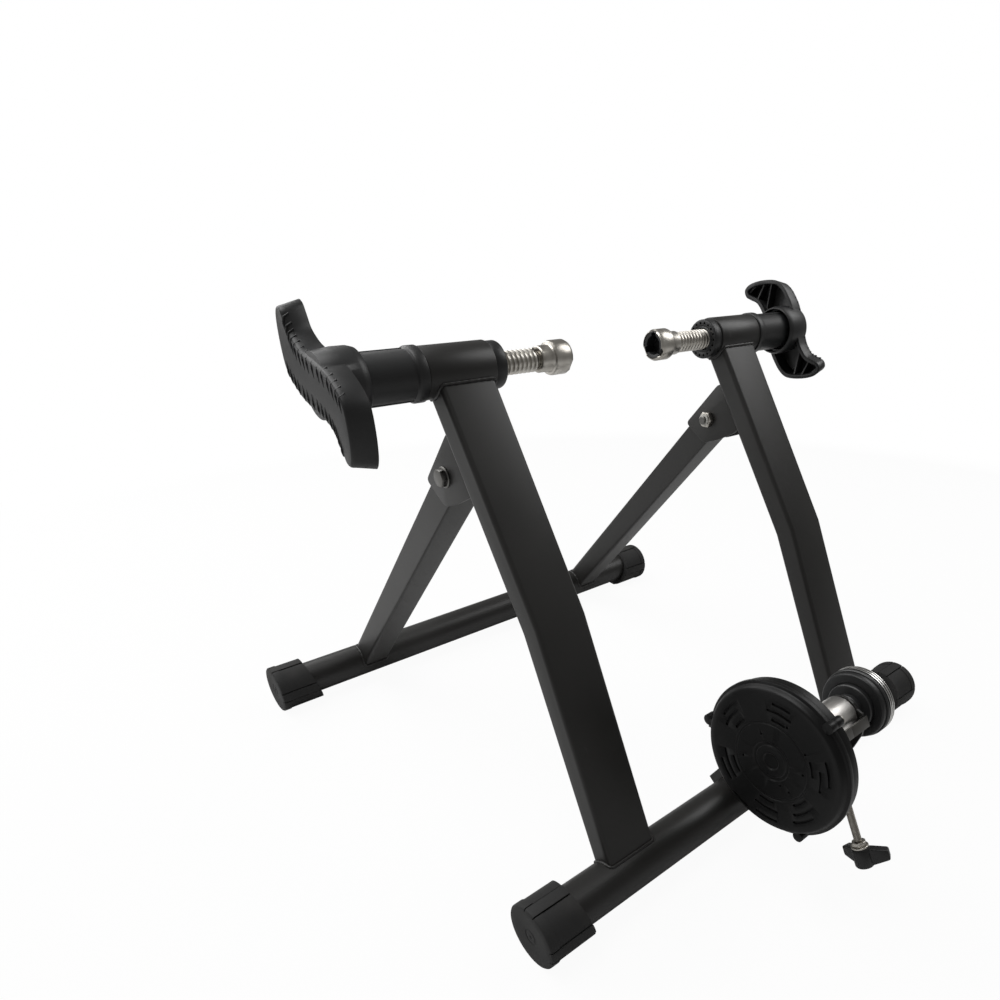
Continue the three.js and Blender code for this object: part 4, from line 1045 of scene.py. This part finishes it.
pivot = (84.6, -31.1)  # (y, z) in the unit's leaning frame
onPivot = onUnit @ move(0, *pivot)
a, b = spanX("cradle_pivot_bolt")
pivotHead = hexed("pivotHead", bolt["corners"], bolt["head"], 0, move(b - bolt["head"], 0, 0))
joinUp(pivotHead, pinned("pivotShank", bolt["radius"], a, b - 4, bolt["chamfer"]))
dress(smooth(placed("pivot_screw", onPivot)), "zinc", "base_frame", "cradle_pivot_bolt")
nutPiece, ringPiece = lockNut(bolt["corners"], lock["pivotHeight"])
onPivotNut = onPivot @ move(spanX("cradle_pivot_nut")[1] - lock["pivotHeight"] * lock["hexShare"], 0, 0)
dress(placed("pivot_lock_nut", onPivotNut, nutPiece), "zinc", "base_frame", "cradle_pivot_nut")
dress(placed("pivot_lock_ring", onPivotNut, ringPiece), "nylon", "base_frame")


# CAD nodes that keep their own shape, with finish and bevel width

kept = {"unit_mount_bracket": ("coat", 0.5), "roller_cradle": ("coat", 0.6), "hinge_bush_left": ("zinc", 0.2),
        "hinge_bush_right": ("zinc", 0.2), "adjuster_weld_nut": ("zinc", 0.3), "thrust_pad": ("zinc", 0.3),
        "cradle_pivot_sleeve": ("zinc", 0.2), "bearing_left": ("steel", 0.3), "bearing_right": ("steel", 0.3),
        "roller_shaft": ("steel", 0.4), "brake_rotor": ("aluminium", 0.2), "fixed_magnet_plate": ("magnet", 0.2),
        "moving_magnet_plate": ("magnet", 0.2)}
for node, (finish, width) in kept.items():
    piece = paintOver(bpy.data.objects[node], finish)
    piece.modifiers.new("Weld", "WELD").merge_threshold = 1e-5
    bevel = piece.modifiers.new("Bevel", "BEVEL")
    bevel.width, bevel.segments, bevel.limit_method, bevel.angle_limit = width * mm, 2, "ANGLE", radians(35)
print("kept nodes finished")


# floor, light and camera

def paleFloor():  # shows the shadow near the stand and turns to plain white farther out
    paint = Paint("Pale Floor", baseColor=(0.62, 0.62, 0.62), roughness=0.9)
    seen, third = (paint.node("ShaderNodeLightPath", {}, {}, ray) for ray in ("Is Camera Ray", "Is Transmission Ray"))
    far = paint.node("ShaderNodeVectorMath", {"operation": "LENGTH"}, {0: paint.spot}, "Value").fade(0.3, 1.4)
    glow = paint.node("ShaderNodeEmission", {}, {})
    whole = paint.node("ShaderNodeMixShader", {}, {0: seen.top(third) * far.top(0.95),
                                                   1: Signal(paint, paint.shader.outputs[0]), 2: glow})
    paint.links.new(whole.socket, paint.nodes["Material Output"].inputs["Surface"])
    return paint.material


bpy.ops.mesh.primitive_plane_add(size=8, location=(0, 0, 0))
floor = placed("floor")
floor.data.materials.append(paleFloor())

world = bpy.data.worlds.new("Studio")
bpy.context.scene.world = world
world.use_nodes = True
nodes, links = world.node_tree.nodes, world.node_tree.links
nodes.clear()
path, dim, white, mix, output = (nodes.new(f"ShaderNode{kind}") for kind in (
    "LightPath", "Background", "Background", "MixShader", "OutputWorld"))
for node, colour, strength in ((dim, (1, 0.985, 0.96, 1), 0.22), (white, (1, 1, 1, 1), 1)):
    node.inputs["Color"].default_value, node.inputs["Strength"].default_value = colour, strength
links.new(path.outputs["Is Camera Ray"], mix.inputs[0])
links.new(dim.outputs[0], mix.inputs[1])
links.new(white.outputs[0], mix.inputs[2])
links.new(mix.outputs[0], output.inputs["Surface"])

lamps = {"key": ((-0.65, 0.35, 1.9), 1.2, 25), "side": ((1.04, -0.35, 1.29), 0.8, 8.5),
         "back": ((-0.3, 1.6, 1.4), 1.2, 17), "low": ((-1.2, 1.3, 0.8), 1, 8)}  # spot and size in metres, power
for name, (spot, size, power) in lamps.items():
    bpy.ops.object.light_add(type="AREA", location=spot)
    lamp = bpy.context.view_layer.objects.active
    lamp.name, lamp.data.size, lamp.data.energy = name, size, power
    lamp.rotation_euler = (Vector((0, 0, 0.15)) - Vector(spot)).to_track_quat("-Z", "Y").to_euler()

shot = {"spot": (-430.4, -278.7 + frontY, 451.8), "yaw": 41.4, "pitch": 30.3,
        "pixels": 1000, "focal": 703.1, "centre": (600.8, 650.2)}  # the last two in pixels too
bpy.ops.object.camera_add(location=Vector(shot["spot"]) * mm)
camera = bpy.context.view_layer.objects.active
camera.rotation_euler = (radians(90 - shot["pitch"]), 0, radians(-shot["yaw"]))
camera.data.sensor_width = 36
camera.data.lens = shot["focal"] / shot["pixels"] * camera.data.sensor_width
camera.data.shift_x = 0.5 - shot["centre"][0] / shot["pixels"]
camera.data.shift_y = shot["centre"][1] / shot["pixels"] - 0.5
camera.data.clip_start = 0.01
bpy.context.scene.camera = camera
bpy.context.scene.view_settings.view_transform = "Standard"

print("scene ready")
